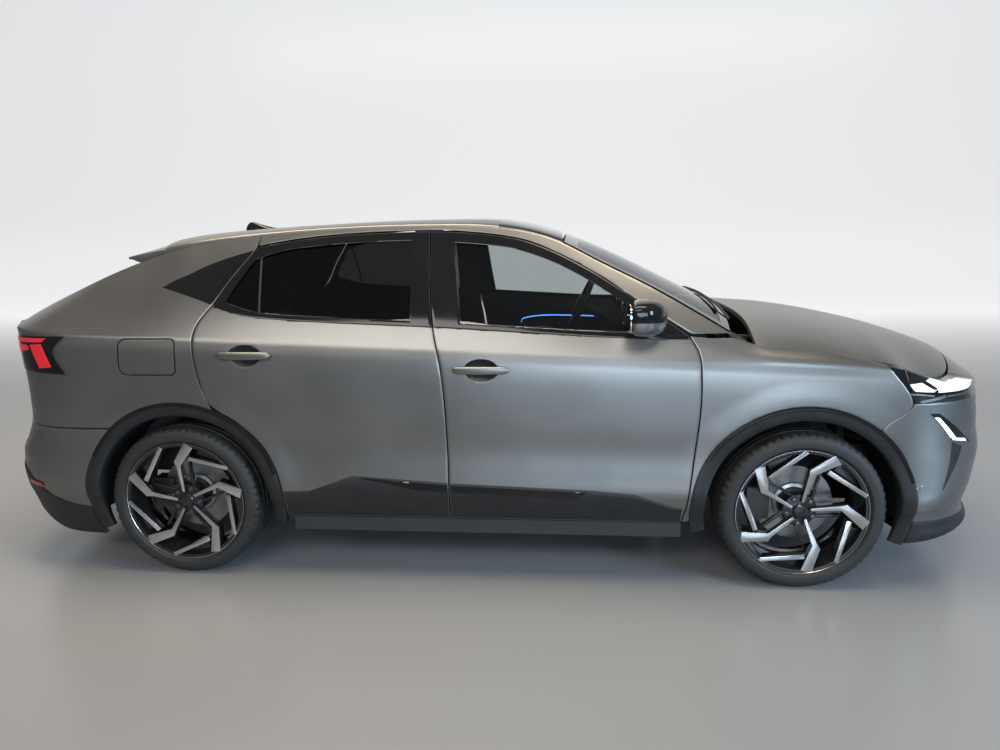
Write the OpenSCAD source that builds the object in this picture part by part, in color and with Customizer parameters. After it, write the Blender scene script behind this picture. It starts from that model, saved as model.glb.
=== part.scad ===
// Coupe sport utility vehicle: five-door body on four road wheels, left-hand drive.
// Frame: +X to the front, +Y to the left, +Z up, origin on the ground at the middle of the length.

/* [Overall size] */
// Overall length
body_len = 4710; // [4500:10:4900]
// Half of the body width without mirrors
half_w = 933; // [900:1:960]
// Height of the roof on the centre line
roof_z = 1606; // [1560:1:1660]
// Distance between the axles
wheelbase = 2738; // [2650:1:2800]
// Front axle to the front end
front_overhang = 945; // [900:1:990]
// Height of the bottom edge of the doors
sill_z = 287; // [270:1:310]

/* [Wheels] */
// Tyre radius, which is also the axle height
tyre_r = 350; // [335:1:365]
// Tyre width
tyre_w = 245; // [225:1:255]
// Radius of the rim's lip
rim_r = 278; // [255:1:285]
// Distance between the wheel centres of one axle
track = 1614; // [1590:1:1630]
// Radius of the spindle that carries each wheel
spindle_r = 22; // [18:1:26]
// Radius of the steering pins
kingpin_r = 15; // [12:1:18]
// Radial clearance of spindles and pins
running_gap = 0.05; // [0.03:0.01:0.1]

/* [Panels] */
// Gap around the doors and lids
panel_gap = 6; // [5:0.5:8]
// Gap between pieces that are fastened together
seat_gap = 0.3; // [0.2:0.05:0.5]
// Thickness of the doors below the windows
door_t = 105; // [90:1:120]
// Thickness of the window frames and pillars
frame_t = 42; // [35:1:50]
// Thickness of the fixed outer panels
panel_t = 24; // [18:1:30]
// Thickness of the window glass
glass_t = 5; // [4:0.5:6]
// Outer radius of the wheel arch trims
arch_r = 470; // [460:1:480]
// Inner radius of the wheel arch trims
arch_in_r = 404; // [400:1:415]
// Radius of the hinge pins
hinge_r = 5; // [4:0.5:6]

/* [Hidden] */
$fn = 64;

// Axles
x_fa = body_len / 2 - front_overhang;
x_ra = x_fa - wheelbase;
axle_z = tyre_r;
wheel_y = track / 2;

// Places along the length are given for this base layout. They move with the axles and the ends of
// the body, and the stretches around the wheel arches keep their length
base_fa = 1410;
base_ra = -1328;
base_end = 2355;
stations = [[-base_end, -body_len / 2], [base_ra - 500, x_ra - 500], [base_ra + 600, x_ra + 600],
            [base_fa - 640, x_fa - 640], [base_fa + 480, x_fa + 480], [base_end, body_len / 2]];
function px(x) = lookup(x, stations);
function placed(k) = [for (p = k) [px(p[0]), p[1]]];
function reached(k) = [for (p = k) [p[0], px(p[1])]];

// Curves through knots: [x, value] pairs, or [x, z] points taken in order
function lerp(a, b, t) = a + (b - a) * t;
function clamp(v, lo, hi) = min(max(v, lo), hi);
function spot(k, x, i = 0) = (i >= len(k) - 2 || x < k[i + 1][0]) ? i : spot(k, x, i + 1);
function slope(k, i) =
  let (a = max(i - 1, 0), b = min(i + 1, len(k) - 1))
  (k[b][1] - k[a][1]) / (k[b][0] - k[a][0]);
function hermite(p, q, m, n, t) =
  (1 + 2 * t) * pow(1 - t, 2) * p + t * pow(1 - t, 2) * m
  + t * t * (3 - 2 * t) * q + t * t * (t - 1) * n;
function curve(k, x) =
  let (i = spot(k, x), h = k[i + 1][0] - k[i][0], t = clamp((x - k[i][0]) / h, 0, 1))
  hermite(k[i][1], k[i + 1][1], slope(k, i) * h, slope(k, i + 1) * h, t);
function along(p, t) =
  let (n = len(p) - 1, i = min(floor(t * n), n - 1), f = t * n - i,
       m0 = (p[i + 1] - p[max(i - 1, 0)]) / (i > 0 ? 2 : 1),
       m1 = (p[min(i + 2, n)] - p[i]) / (i + 2 <= n ? 2 : 1))
  hermite(p[i], p[i + 1], m0, m1, f);
function shifted(p, d) = [for (q = p) q + d];
function turned_round(p) = [for (i = [len(p) - 1 : -1 : 0]) p[i]];

// Body side below the shoulder crease: inset from the half width against relative height
side_inset = [[-0.25, 75], [0, 42], [0.1, 20], [0.19, 8], [0.28, 13], [0.42, 21], [0.6, 13],
              [0.8, 10], [0.93, 16], [1, 27]];
crease_mid_z = 1043;
crease_fall = 0.0426;
function crease_z(x) = crease_mid_z - crease_fall * x;

// Plan rounding of the nose and tail, as superellipses whose length varies with height
x_nose = x_fa + 290;
x_tail = x_ra - 322;
nose_inset = [[180, 110], [205, 40], [235, 8], [262, 28], [330, 46], [480, 14], [560, 0], [620, 9],
              [665, 24], [740, 34], [880, 66], [915, 92], [960, 130], [1100, 190]];
tail_inset = [[150, 130], [213, 60], [260, 32], [360, 8], [440, 2], [500, 0], [550, 5], [600, 34], [690, 78],
              [860, 92], [1000, 82], [1100, 68], [1150, 60], [1250, 110]];
nose_n = 2.6;
tail_n = 3.2;
function nose_len(z) = body_len / 2 - x_nose - curve(nose_inset, z);
function tail_len(z) = body_len / 2 + x_tail - curve(tail_inset, z);
function rounding(d, n) = d <= 0 ? 1 : pow(max(1 - pow(d, n), 0), 1 / n);
function nose_round(x, z) = rounding((x - x_nose) / nose_len(z), nose_n);
function tail_round(x, z) = rounding((x_tail - x) / tail_len(z), tail_n);
function flare(x, z) =
  let (r = min(norm([x - x_fa, z - axle_z]), norm([x - x_ra, z - axle_z])),
       t = clamp((r - arch_r) / 110, 0, 1))
  7 * (1 - t * t * (3 - 2 * t));
function side_y(x, z) =
  (half_w - curve(side_inset, (z - sill_z) / (crease_z(x) - sill_z)) + (z > axle_z ? flare(x, z) : 0))
  * nose_round(x, z) * tail_round(x, z);

// Upper edge of the body side: rear corner, roof rail, windscreen pillar, then the bonnet shut line
rail_drop = roof_z - 1606;
edge_z_knots = placed([[-2205, 1152], [-2100, 1203], [-1900, 1294], [-1700, 1378], [-1500, 1446 + rail_drop],
  [-1300, 1497 + rail_drop], [-1000, 1536 + rail_drop], [-650, 1561 + rail_drop], [-275, 1570 + rail_drop],
  [0, 1566 + rail_drop], [150, 1552 + rail_drop], [260, 1533 + rail_drop], [380, 1494 + rail_drop],
  [560, 1402], [785, 1290], [1000, 1168], [1095, 1112], [1180, 1070], [1264, 1045], [1504, 1026],
  [1658, 1003], [1740, 984], [1850, 966]]);
edge_inset_knots = placed([[-2205, 304], [-2100, 285], [-1900, 284], [-1700, 288], [-1500, 284],
  [-1300, 274], [-1000, 266], [-275, 262], [150, 262], [380, 250], [560, 220],
  [785, 166], [1000, 112], [1095, 92],
  [1180, 78], [1264, 64], [1504, 64], [1658, 68], [1740, 70], [1850, 80]]);
function edge_z(x) = curve(edge_z_knots, x);
function edge_y(x) = half_w - curve(edge_inset_knots, x);
shoulder_bulge = 9;
function skin_y(x, z) =
  let (zc = crease_z(x))
  z <= zc ? side_y(x, z) :
  let (w = (z - zc) / max(edge_z(x) - zc, 1))
  lerp(side_y(x, zc), edge_y(x), w) + shoulder_bulge * 4 * w * (1 - w);

// Window line: its lower edge above the crease, and the tops of the doors
belt_rise = placed([[-1400, 226], [-1223, 168], [-1080, 127], [-934, 106], [-600, 98], [-186, 97], [596, 84],
             [934, 90], [1100, 94]]);
function belt_z(x) = crease_z(x) + curve(belt_rise, x);
door_top_knots = placed([[-1269, 1411 + rail_drop], [-959, 1490 + rail_drop], [-649, 1530 + rail_drop],
  [-275, 1545 + rail_drop], [-60, 1540 + rail_drop], [205, 1505 + rail_drop], [381, 1440 + rail_drop],
  [556, 1345], [733, 1228], [930, 1105]]);
function door_top(x) = curve(door_top_knots, x);
function top_at(x, down = 0) = [px(x), door_top(px(x)) - down];
function belt_at(x, up) = [px(x), belt_z(px(x)) + up];

// Closed shell from an outer and an inner grid of points
module shell(outer, inner) {
  n = len(outer);
  m = len(outer[0]);
  function o(i, j) = i * m + j;
  function q(i, j) = n * m + i * m + j;
  faces = [
    for (i = [0 : n - 2]) for (j = [0 : m - 2]) each
      [[o(i, j), o(i + 1, j + 1), o(i + 1, j)], [o(i, j), o(i, j + 1), o(i + 1, j + 1)],
       [q(i, j), q(i + 1, j), q(i + 1, j + 1)], [q(i, j), q(i + 1, j + 1), q(i, j + 1)]],
    for (j = [0 : m - 2]) each
      [[o(0, j), q(0, j + 1), o(0, j + 1)], [o(0, j), q(0, j), q(0, j + 1)],
       [o(n - 1, j), o(n - 1, j + 1), q(n - 1, j + 1)], [o(n - 1, j), q(n - 1, j + 1), q(n - 1, j)]],
    for (i = [0 : n - 2]) each
      [[o(i, 0), o(i + 1, 0), q(i + 1, 0)], [o(i, 0), q(i + 1, 0), q(i, 0)],
       [o(i, m - 1), q(i + 1, m - 1), o(i + 1, m - 1)], [o(i, m - 1), q(i, m - 1), q(i + 1, m - 1)]]
  ];
  polyhedron([for (r = outer) each r, for (r = inner) each r], faces);
}

// Region of the side view: four lists of [x, z] points that meet at the corners
function coons(b, t, r, f, s, u) =
  (1 - u) * along(b, s) + u * along(t, s) + (1 - s) * along(r, u) + s * along(f, u)
  - (1 - s) * (1 - u) * b[0] - s * (1 - u) * b[len(b) - 1]
  - (1 - s) * u * t[0] - s * u * t[len(t) - 1];
function region(b, t, r, f, cols, rows) =
  [for (i = [0 : rows]) [for (j = [0 : cols]) coons(b, t, r, f, j / cols, i / rows)]];
function outline(b, t, r, f, n) = concat(
  [for (i = [0 : n - 1]) along(b, i / n)], [for (i = [0 : n - 1]) along(f, i / n)],
  [for (i = [n : -1 : 1]) along(t, i / n)], [for (i = [n : -1 : 1]) along(r, i / n)]);
function on_skin(grid, depth) = [for (r = grid) [for (p = r) [p[0], skin_y(p[0], p[1]) - depth, p[1]]]];
function wall_t(x, z, low, high) = lerp(low, high, clamp((z - belt_z(x) + 70) / 60, 0, 1));
function inner_skin(grid, low, high, taper) =
  [for (r = grid) [for (j = [0 : len(r) - 1])
    let (p = r[j], x = p[0] + taper * (1 - j / (len(r) - 1)))
    [x, skin_y(p[0], p[1]) - wall_t(p[0], p[1], low, high), p[1]]]];
module side_panel(grid, low, high, taper = 0) shell(on_skin(grid, 0), inner_skin(grid, low, high, taper));
module side_prism(points, y0, y1)
  translate([0, y1, 0]) rotate([90, 0, 0]) linear_extrude(y1 - y0) polygon(points);
module mirrored(left) {
  if (left) children();
  else mirror([0, 1, 0]) children();
}

// Shut lines and door edges in side view
b_line = concat(placed([[-103, sill_z], [-104, 470], [-110, 780], [-128, 980], [-165, 1160], [-182, 1350]]),
                [top_at(-190)]);
door_front_edge = [[x_fa - 497, sill_z], [x_fa - 474, 451], [x_fa - 443, 760], [x_fa - 441, 930],
                   [x_fa - 450, 1030], [x_fa - 487, 1102]];
arch_clear_r = arch_r + panel_gap;
function on_arch(a) = [x_ra + arch_clear_r * cos(a), axle_z + arch_clear_r * sin(a)];
rear_arch_start = asin((sill_z - axle_z) / arch_clear_r);
rear_door_edge = [on_arch(rear_arch_start), on_arch(13), on_arch(33), on_arch(52), [x_ra + 168, 812],
  [x_ra + 132, 910], [x_ra + 110, 1040], [x_ra + 116, 1150], [x_ra + 190, 1258], [x_ra + 245, 1345],
  [x_ra + 318, 1440], [x_ra + 348, door_top(x_ra + 348)]];

half_gap = panel_gap / 2;
fd_rear = shifted(b_line, [half_gap, 0]);
fd_front = shifted(door_front_edge, [-half_gap, 0]);
fd_bottom = [fd_rear[0], fd_front[0]];
fd_top = concat([fd_rear[6]], [for (x = [-60, 100, 240, 381, 520, 640, 760]) top_at(x)], [fd_front[5]]);
rd_front = shifted(b_line, [-half_gap, 0]);
rd_rear = rear_door_edge;
rd_bottom = [rd_rear[0], rd_front[0]];
rd_top = concat([rd_rear[11]], [for (x = [-850, -700, -550, -400, -290]) top_at(x)], [rd_front[6]]);
front_door_grid = region(fd_bottom, fd_top, fd_rear, fd_front, 12, 15);
rear_door_grid = region(rd_bottom, rd_top, rd_rear, rd_front, 12, 17);

// Window openings in the doors
glass_low = 18;
front_frame_h = 44;
rear_frame_h = 36;
fw_rear = [belt_at(-45, glass_low), [px(-66), 1330], top_at(-84, front_frame_h)];
fw_front = [belt_at(812, glass_low), [px(814), 1128], [px(812), 1141]];
fw_bottom = [for (x = [-45, 240, 530, 812]) belt_at(x, glass_low)];
fw_top = concat([fw_rear[2]], [for (x = [60, 205, 381, 556, 690]) top_at(x, front_frame_h)], [fw_front[2]]);
rw_rear = [belt_at(-1096, glass_low + 12), [px(-1062), 1318], [px(-985), 1432]];
rw_front = [belt_at(-262, glass_low), [px(-266), 1330], top_at(-272, rear_frame_h)];
rw_bottom = concat([rw_rear[0]], [for (x = [-934, -700, -480]) belt_at(x, glass_low)], [rw_front[0]]);
rw_top = concat([rw_rear[2]], [for (x = [-850, -650, -450]) top_at(x, rear_frame_h)], [rw_front[2]]);

// Door hinge axes stand behind the front edge of each door, which swings in behind its neighbour
hinge_depth = 9;
hinge_y = skin_y(x_fa - 460, 700) - hinge_depth;
front_hinge_x = x_fa - 520;
front_hinge_zs = [430, 880];
rear_hinge_x = px(-139);
rear_hinge_zs = [430, 860];
hinge_h = 30;
ear_h = 10;
eye_r = hinge_r + 3;
notch_h = hinge_h + 2 * ear_h + 6;
notch_back = 28;
notch_front = 110;

module hinge_notches(x, zs)
  for (z = zs) translate([x - notch_back, hinge_y - door_t - 30, z - notch_h / 2])
    cube([notch_back + notch_front, door_t + 30 + eye_r + 0.7, notch_h]);
module hinge_eyes(x, zs)
  for (z = zs) difference() {
    union() {
      translate([x, hinge_y, z - hinge_h / 2]) cylinder(r = eye_r, h = hinge_h);
      translate([x - notch_back - 6, hinge_y - eye_r, z - hinge_h / 2])
        cube([notch_back + 6, eye_r + 2, hinge_h]);
    }
    translate([x, hinge_y, z - hinge_h]) cylinder(r = hinge_r + running_gap, h = 2 * hinge_h);
  }
module hinge_bracket(x, z, y_seat) {
  low_z = z - hinge_h / 2 - ear_h - seat_gap;
  bracket_h = hinge_h + 2 * ear_h + 2 * seat_gap;
  translate([x, hinge_y, low_z]) cylinder(r = hinge_r, h = bracket_h);
  for (d = [0, bracket_h - ear_h]) {
    translate([x - eye_r, y_seat, low_z + d]) cube([2 * eye_r, hinge_y - y_seat, ear_h]);
    translate([x, hinge_y, low_z + d]) cylinder(r = eye_r, h = ear_h);
  }
  translate([x - eye_r, y_seat, low_z]) cube([2 * eye_r, 12, bracket_h]);
}
pillar_y = half_w - door_t - 54;
module door_hinges() color("dimgray")
  for (left = [true, false]) mirrored(left) {
    for (z = front_hinge_zs) hinge_bracket(front_hinge_x, z, pillar_y + seat_gap);
    for (z = rear_hinge_zs) hinge_bracket(rear_hinge_x, z, pillar_y + seat_gap);
  }

handle_drop = 72;
module door_handle(x, z) {
  y = skin_y(x, z);
  for (d = [-95, 95]) translate([x + d, y - 20, z]) rotate([-90, 0, 0]) cylinder(r = 11, h = 42);
  translate([x, y + 22, z]) rotate([0, 90, 0]) cylinder(r = 12, h = 244, center = true);
}

module door_front(left) color("#77736a") mirrored(left) {
  difference() {
    side_panel(front_door_grid, door_t, frame_t, 18);
    side_prism(outline(fw_bottom, fw_top, fw_rear, fw_front, 8), half_w - 633, half_w + 67);
    hinge_notches(front_hinge_x, front_hinge_zs);
  }
  hinge_eyes(front_hinge_x, front_hinge_zs);
  door_handle(px(48), crease_z(px(48)) - handle_drop);
}
module door_rear(left) color("#77736a") mirrored(left) {
  difference() {
    side_panel(rear_door_grid, door_t, frame_t, 18);
    side_prism(outline(rw_bottom, rw_top, rw_rear, rw_front, 8), half_w - 633, half_w + 67);
    hinge_notches(rear_hinge_x, rear_hinge_zs);
  }
  hinge_eyes(rear_hinge_x, rear_hinge_zs);
  door_handle(px(-988), crease_z(px(-988)) - handle_drop + 18);
}

// Window panes sit in the openings, a little inside the outer skin
pane_depth = 9;
function shrink(p, c, g) = [for (q = p) q + g * (c - q) / norm(c - q)];
module pane(b, t, r, f, cols, rows) {
  c = (along(b, 0.5) + along(t, 0.5)) / 2;
  grid = region(shrink(b, c, 2 * seat_gap), shrink(t, c, 2 * seat_gap),
                shrink(r, c, 2 * seat_gap), shrink(f, c, 2 * seat_gap), cols, rows);
  shell(on_skin(grid, pane_depth), on_skin(grid, pane_depth + glass_t));
}
module glass_front(left) color("#1c1f22", 0.6) mirrored(left)
  pane(fw_bottom, fw_top, fw_rear, fw_front, 8, 4);
module glass_rear(left) color("#101214", 0.8) mirrored(left)
  pane(rw_bottom, rw_top, rw_rear, rw_front, 8, 4);

// Door mirror: a rounded housing on a foot at the front corner of the window
mirror_x = px(716);
mirror_z = 1196;
mirror_foot = [for (d = [-46, -14]) [for (x = [56, 92, 128]) [mirror_x + x, belt_z(mirror_x + x) + d]]];
module mirror_pod(left) color("#15171a") mirrored(left) {
  y = skin_y(mirror_x + 60, belt_z(mirror_x + 60));
  hull() {
    translate([mirror_x, y + 70, mirror_z]) scale([1, 1, 1.4]) sphere(r = 52, $fn = 24);
    translate([mirror_x - 14, y + 178, mirror_z + 4]) scale([0.9, 1, 1.35]) sphere(r = 46, $fn = 24);
    translate([mirror_x + 62, y + 96, mirror_z - 8]) sphere(r = 40, $fn = 24);
  }
  hull() {
    translate([mirror_x + 30, y + 70, mirror_z - 52]) sphere(r = 26, $fn = 20);
    shell(on_skin(mirror_foot, -10), on_skin(mirror_foot, -0.8));
  }
}

// Front fender
fender_rear = shifted(door_front_edge, [half_gap, 0]);
fender_split = [[x_fa + 452, 470], [x_fa + 404, 660], [x_fa + 392, 760], [x_fa + 404, 840],
                [x_fa + 364, 958]];
fender_top_steps = [-400, -315, -230, -146, 0, 100, 200, 300];
function fender_top_z(x) = x < x_fa - 300 ? belt_z(x) + 2 : edge_z(x) - (x > x_fa + 290 ? 18 : 0);
fender_top = [for (d = fender_top_steps) [x_fa + d, fender_top_z(x_fa + d)]];
fender_grid = region([fender_rear[0], [x_fa - 100, 400], fender_split[0]],
  concat([fender_rear[5]], fender_top, [fender_split[4]]), fender_rear, fender_split, 12, 9);
module arch_cut(x, r) translate([x, 0, axle_z]) rotate([-90, 0, 0]) cylinder(r = r, h = 2 * half_w);
module fender(left) color("#7f8487") mirrored(left) difference() {
  fixed_panel(fender_grid, 0);
  arch_cut(x_fa, arch_r + seat_gap);
}

// Roof rail with the windscreen pillar, and the centre pillar behind the doors
rail_rear_x = x_ra + 352;
roof_front_x = px(392);
rail_roof_xs = [for (i = [0 : 16]) lerp(rail_rear_x + seat_gap, roof_front_x, i / 16)];
rail_xs = concat(rail_roof_xs, [for (i = [1 : 10]) lerp(roof_front_x, px(1095), i / 10)]);
rail_low = [for (x = rail_xs) [x, min(door_top(x) + panel_gap * 1.3, edge_z(x) - 7)]];
rail_high = [for (x = rail_xs) [x, edge_z(x)]];
rail_grid = [for (k = [0, 0.5, 1]) [for (i = [0 : len(rail_xs) - 1]) lerp(rail_low[i], rail_high[i], k)]];
post_x = [px(-232), px(-108)];
post_zs = [sill_z + 60, 600, 900, 1040, 1110, 1180, 1300, 1420, 1500, 1561 + rail_drop];
post_gap = 7;
post_t = 46;
module centre_pillar() {
  outer = [for (z = post_zs) [for (x = post_x)
    let (y = skin_y(x, z) - wall_t(x, z - 60, door_t, frame_t) - post_gap)
    [x - 38 * clamp((z - 900) / 250, 0, 1), z < 1000 ? pillar_y : y, z]]];
  shell(outer, [for (r = outer) [for (p = r) [p[0], p[1] - post_t, p[2]]]]);
}
module roof_rail(left) color("#8d8a80") mirrored(left) {
  shell(on_skin(rail_grid, 0), on_skin(rail_grid, frame_t + 36));
  centre_pillar();
}

// Rear quarter with the fuel flap's pocket
quarter_front = concat([[x_ra + 186, 745]],
  shifted([for (i = [4 : 11]) rear_door_edge[i]], [-panel_gap - 2.5, 0]),
  [[x_ra + 352, edge_z(x_ra + 352)]]);
tail_corner_x = px(-2196);
bumper_top_z = 690;
quarter_rear = [[tail_corner_x - 6, bumper_top_z + seat_gap], [tail_corner_x + 6, 860],
                [tail_corner_x, 1000], [tail_corner_x - 8, edge_z(tail_corner_x - 8)]];
quarter_bottom = [quarter_rear[0], [px(-1900), bumper_top_z + 4], [px(-1500), bumper_top_z + 14],
                  quarter_front[0]];
quarter_top = [for (i = [0 : 10]) let (x = lerp(tail_corner_x - 8, x_ra + 352, i / 10)) [x, edge_z(x)]];
quarter_grid = region(quarter_bottom, quarter_top, quarter_rear, quarter_front, 14, 12);
quarter_t = 46;
flap_x = [x_ra - 234, x_ra + 20];
flap_z = [946, 1098];
flap_t = 5;
flap_corner = 34;
module rounded_rect(w, h, r) {
  translate([r, 0]) square([w - 2 * r, h]);
  translate([0, r]) square([w, h - 2 * r]);
  for (x = [r, w - r]) for (y = [r, h - r]) translate([x, y]) circle(r = r);
}
module flap_prism(g)
  translate([0, flap_pocket_y, 0]) rotate([90, 0, 180]) mirror([1, 0, 0]) linear_extrude(80)
    translate([flap_x[0] - g, flap_z[0] - g])
      rounded_rect(flap_x[1] - flap_x[0] + 2 * g, flap_z[1] - flap_z[0] + 2 * g, flap_corner);
flap_pocket_y = skin_y(flap_x[0], flap_z[1]) - 30;
module quarter(left) color("#77736a") mirrored(left) {
  quarter_panel(left);
  if (!left) flap_pin();
}
module quarter_panel(left) difference() {
  fixed_panel(quarter_grid, 1);
  arch_cut(x_ra, arch_r + seat_gap);
  if (!left) flap_prism(panel_gap);
}
flap_axis = [flap_x[1] - 20, skin_y(flap_x[1] - 20, 1028) - 9];
flap_pin_r = 3.5;
flap_mid_z = 1000;
flap_eye_h = 36;
flap_ear_h = 8;
flap_pin_h = flap_eye_h + 2 * flap_ear_h;
module at_flap_axis(z) translate([flap_axis[0], flap_axis[1], z]) children();
module flap_pin() {
  at_flap_axis(flap_mid_z - flap_pin_h / 2) cylinder(r = flap_pin_r, h = flap_pin_h);
  for (z = [flap_mid_z - flap_pin_h / 2 - seat_gap, flap_mid_z + flap_eye_h / 2 + seat_gap])
    translate([flap_axis[0] - 14, flap_pocket_y - 4, z])
      cube([16, flap_axis[1] - flap_pocket_y + 3, flap_ear_h]);
}
module fuel_flap() color("#77736a") mirrored(false) {
  xs = [for (i = [0 : 6]) lerp(flap_x[0], flap_x[1], i / 6)];
  zs = [for (i = [0 : 4]) lerp(flap_z[0], flap_z[1], i / 4)];
  grid = [for (z = zs) [for (x = xs) [x, z]]];
  difference() {
    union() {
      intersection() {
        shell(on_skin(grid, 0), on_skin(grid, flap_t));
        flap_prism(0);
      }
      at_flap_axis(flap_mid_z - flap_eye_h / 2) cylinder(r = flap_pin_r + 2.5, h = flap_eye_h);
    }
    at_flap_axis(flap_mid_z - flap_eye_h / 2 - 1) cylinder(r = flap_pin_r + running_gap, h = flap_eye_h + 2);
  }
}

// Thickness of fixed panels falls to a thin flange where a lid closes against them
flange_t = 6;
function fender_wall(x, z) = lerp(panel_t, flange_t, clamp((z - crease_z(x) + 30) / 50, 0, 1));
function quarter_wall(x, z) =
  lerp(flange_t,
    lerp(quarter_t, x > tailgate_x + 110 ? frame_t + 36 : flange_t, clamp((z - edge_z(x) + 80) / 45, 0, 1)),
    clamp((x - tail_corner_x - 86) / 150, 0, 1));
module fixed_panel(grid, kind) shell(on_skin(grid, 0),
  [for (r = grid) [for (p = r)
    [p[0], skin_y(p[0], p[1]) - (kind == 0 ? fender_wall(p[0], p[1]) : quarter_wall(p[0], p[1])), p[1]]]]);

// Bonnet: crowned lid between the fenders
bonnet_mid_z = placed([[1180, 1151], [1300, 1143], [1510, 1127], [1750, 1090], [2000, 1035], [2150, 985],
                       [2230, 945]]);
bonnet_drop = placed([[1180, 80], [1264, 100], [1504, 101], [1658, 103], [1775, 110], [1900, 165],
                      [2093, 259], [2200, 330]]);
bonnet_front = reached([[0, 2195], [0.236, 2188], [0.472, 2158], [0.708, 2093], [0.825, 2030], [0.92, 1940],
                        [0.979, 1840], [1, 1775]]);
bonnet_rear = reached([[0, 1228], [0.588, 1222], [1, 1196]]);
bonnet_t = 22;
bonnet_p = 3.4;
function bonnet_half(x) = edge_y(min(x, px(1850))) - flange_t - panel_gap;
function bonnet_z(x, y) =
  curve(bonnet_mid_z, x) - curve(bonnet_drop, x) * pow(abs(y) / bonnet_half(x), bonnet_p);
function bonnet_point(u, v) =
  let (x = lerp(curve(bonnet_rear, abs(v)), curve(bonnet_front, abs(v)), u), y = v * bonnet_half(x))
  [x, y, bonnet_z(x, y)];
bonnet_vs = [for (a = [-90 : 15 : 90]) sin(a)];
bonnet_grid = [for (i = [0 : 10]) [for (v = bonnet_vs) bonnet_point(i / 10, v)]];
lid_hinge_y = half_w - 373;
lid_eye_r = hinge_r + 5;
bonnet_axis = [px(1245), bonnet_z(px(1245), lid_hinge_y) - bonnet_t - 13];
module lid_eye(axis, y, web) {
  difference() {
    union() {
      translate([axis[0], y - 10, axis[1]]) rotate([-90, 0, 0]) cylinder(r = lid_eye_r, h = 20);
      for (w = web) translate([axis[0] + w[0], y - 10, axis[1] + w[1]]) cube([w[2], 20, w[3]]);
    }
    translate([axis[0], y - 20, axis[1]]) rotate([-90, 0, 0]) cylinder(r = hinge_r + running_gap, h = 40);
  }
}
module lid_pin(axis, y, arm) {
  translate([axis[0], y - 20, axis[1]]) rotate([-90, 0, 0]) cylinder(r = hinge_r, h = 40);
  for (d = [-20.3, 10.3]) translate([axis[0] + arm[0], y + d, axis[1] + arm[1]]) cube([arm[2], 10, arm[3]]);
}
module bonnet() color("#6f747b") {
  shell(bonnet_grid, [for (r = bonnet_grid) [for (p = r) [p[0], p[1] * 0.995, p[2] - bonnet_t]]]);
  for (s = [-1, 1]) lid_eye(bonnet_axis, s * lid_hinge_y, [[0, hinge_r + 1, 40, 14]]);
}

// Windscreen and the cowl below it
screen_mid = placed([[392, 1524], [600, 1440], [870, 1310], [1150, 1168]]);
screen_edge_x = [px(1088), px(396)];
screen_mid_x = [px(1150), px(408)];
screen_p = 2.2;
function screen_point(u, v, d) =
  let (xe = lerp(screen_edge_x[0], screen_edge_x[1], u), xm = lerp(screen_mid_x[0], screen_mid_x[1], u),
       k = pow(abs(v), screen_p))
  [lerp(xm, xe, k) - 0.45 * d, v * (edge_y(xe) - 3), lerp(curve(screen_mid, xm), edge_z(xe), k) - 0.9 * d];
screen_us = [for (i = [0 : 8]) i / 8];
screen_vs = [for (a = [-90 : 15 : 90]) sin(a)];
screen_lift = -glass_t - 0.5;
module windscreen() color("#20262a", 0.6)
  shell([for (u = screen_us) [for (v = turned_round(screen_vs)) screen_point(u, v, screen_lift)]],
        [for (u = screen_us) [for (v = turned_round(screen_vs)) screen_point(u, v, screen_lift + glass_t)]]);

// Roof: crowned panel over the rails, with a glass field at the front
tailgate_x = px(-1450);
roof_mid = placed([[-1480, 1538 + rail_drop], [-1345, 1555 + rail_drop], [-1034, 1575 + rail_drop],
  [-479, 1600 + rail_drop], [-46, 1606 + rail_drop], [114, 1599 + rail_drop], [250, 1573 + rail_drop],
  [378, 1536 + rail_drop], [410, 1524 + rail_drop]]);
roof_t = 30;
roof_m = 2.5;
function roof_point(x, a, t) =
  let (ye = edge_y(x) - t, ze = edge_z(x) + 0.8, k = 2 / roof_m)
  [x, (a < 0 ? -1 : 1) * ye * pow(abs(sin(a)), k), ze + (curve(roof_mid, x) - ze - t) * pow(abs(cos(a)), k)];
roof_as = [for (a = [-90 : 12 : 90]) a];
roof_xs = concat([for (i = [0 : 4]) lerp(tailgate_x, rail_rear_x - 20, i / 4)], rail_roof_xs);
glass_x = [px(-760), roof_front_x];
glass_a = 48;
function roof_grid(xs, as, d) = [for (x = xs) [for (a = turned_round(as)) roof_point(x, a, d)]];
gate_hinge_y = 250;
gate_axis = [tailgate_x - 26, curve(roof_mid, tailgate_x - 26) - 13];
function glass_side(s) = [for (i = [0 : 8])
  let (x = lerp(glass_x[0], glass_x[1] + 40, i / 8), p = roof_point(min(x, roof_front_x), glass_a, 0))
  [x, s * p[1]]];
module roof() color("#8d8a80") {
  difference() {
    shell(turned_round(roof_grid(roof_xs, roof_as, 0)), turned_round(roof_grid(roof_xs, roof_as, roof_t)));
    linear_extrude(2 * roof_z) polygon(concat(glass_side(1), turned_round(glass_side(-1))));
  }
  for (s = [-1, 1]) lid_pin(gate_axis, s * gate_hinge_y, [-9, -11, 60, 18]);
}
module roof_glass() color("#0c0d0f") {
  xs = [for (i = [0 : 8]) lerp(glass_x[0] + seat_gap, glass_x[1], i / 8)];
  as = [for (i = [-6 : 6]) i / 6 * (glass_a - 0.25)];
  shell(turned_round(roof_grid(xs, as, 0)), turned_round(roof_grid(xs, as, 12)));
}
antenna_x = px(-1240);
antenna_z = curve(roof_mid, antenna_x);
module antenna() color("#0c0d0f") hull() {
  translate([antenna_x, 0, antenna_z + 5.2]) scale([1, 0.28, 1]) cylinder(r = 85, h = 4, $fn = 32);
  translate([antenna_x - 62, -5, antenna_z + 46]) cube([24, 10, 4]);
}

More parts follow.
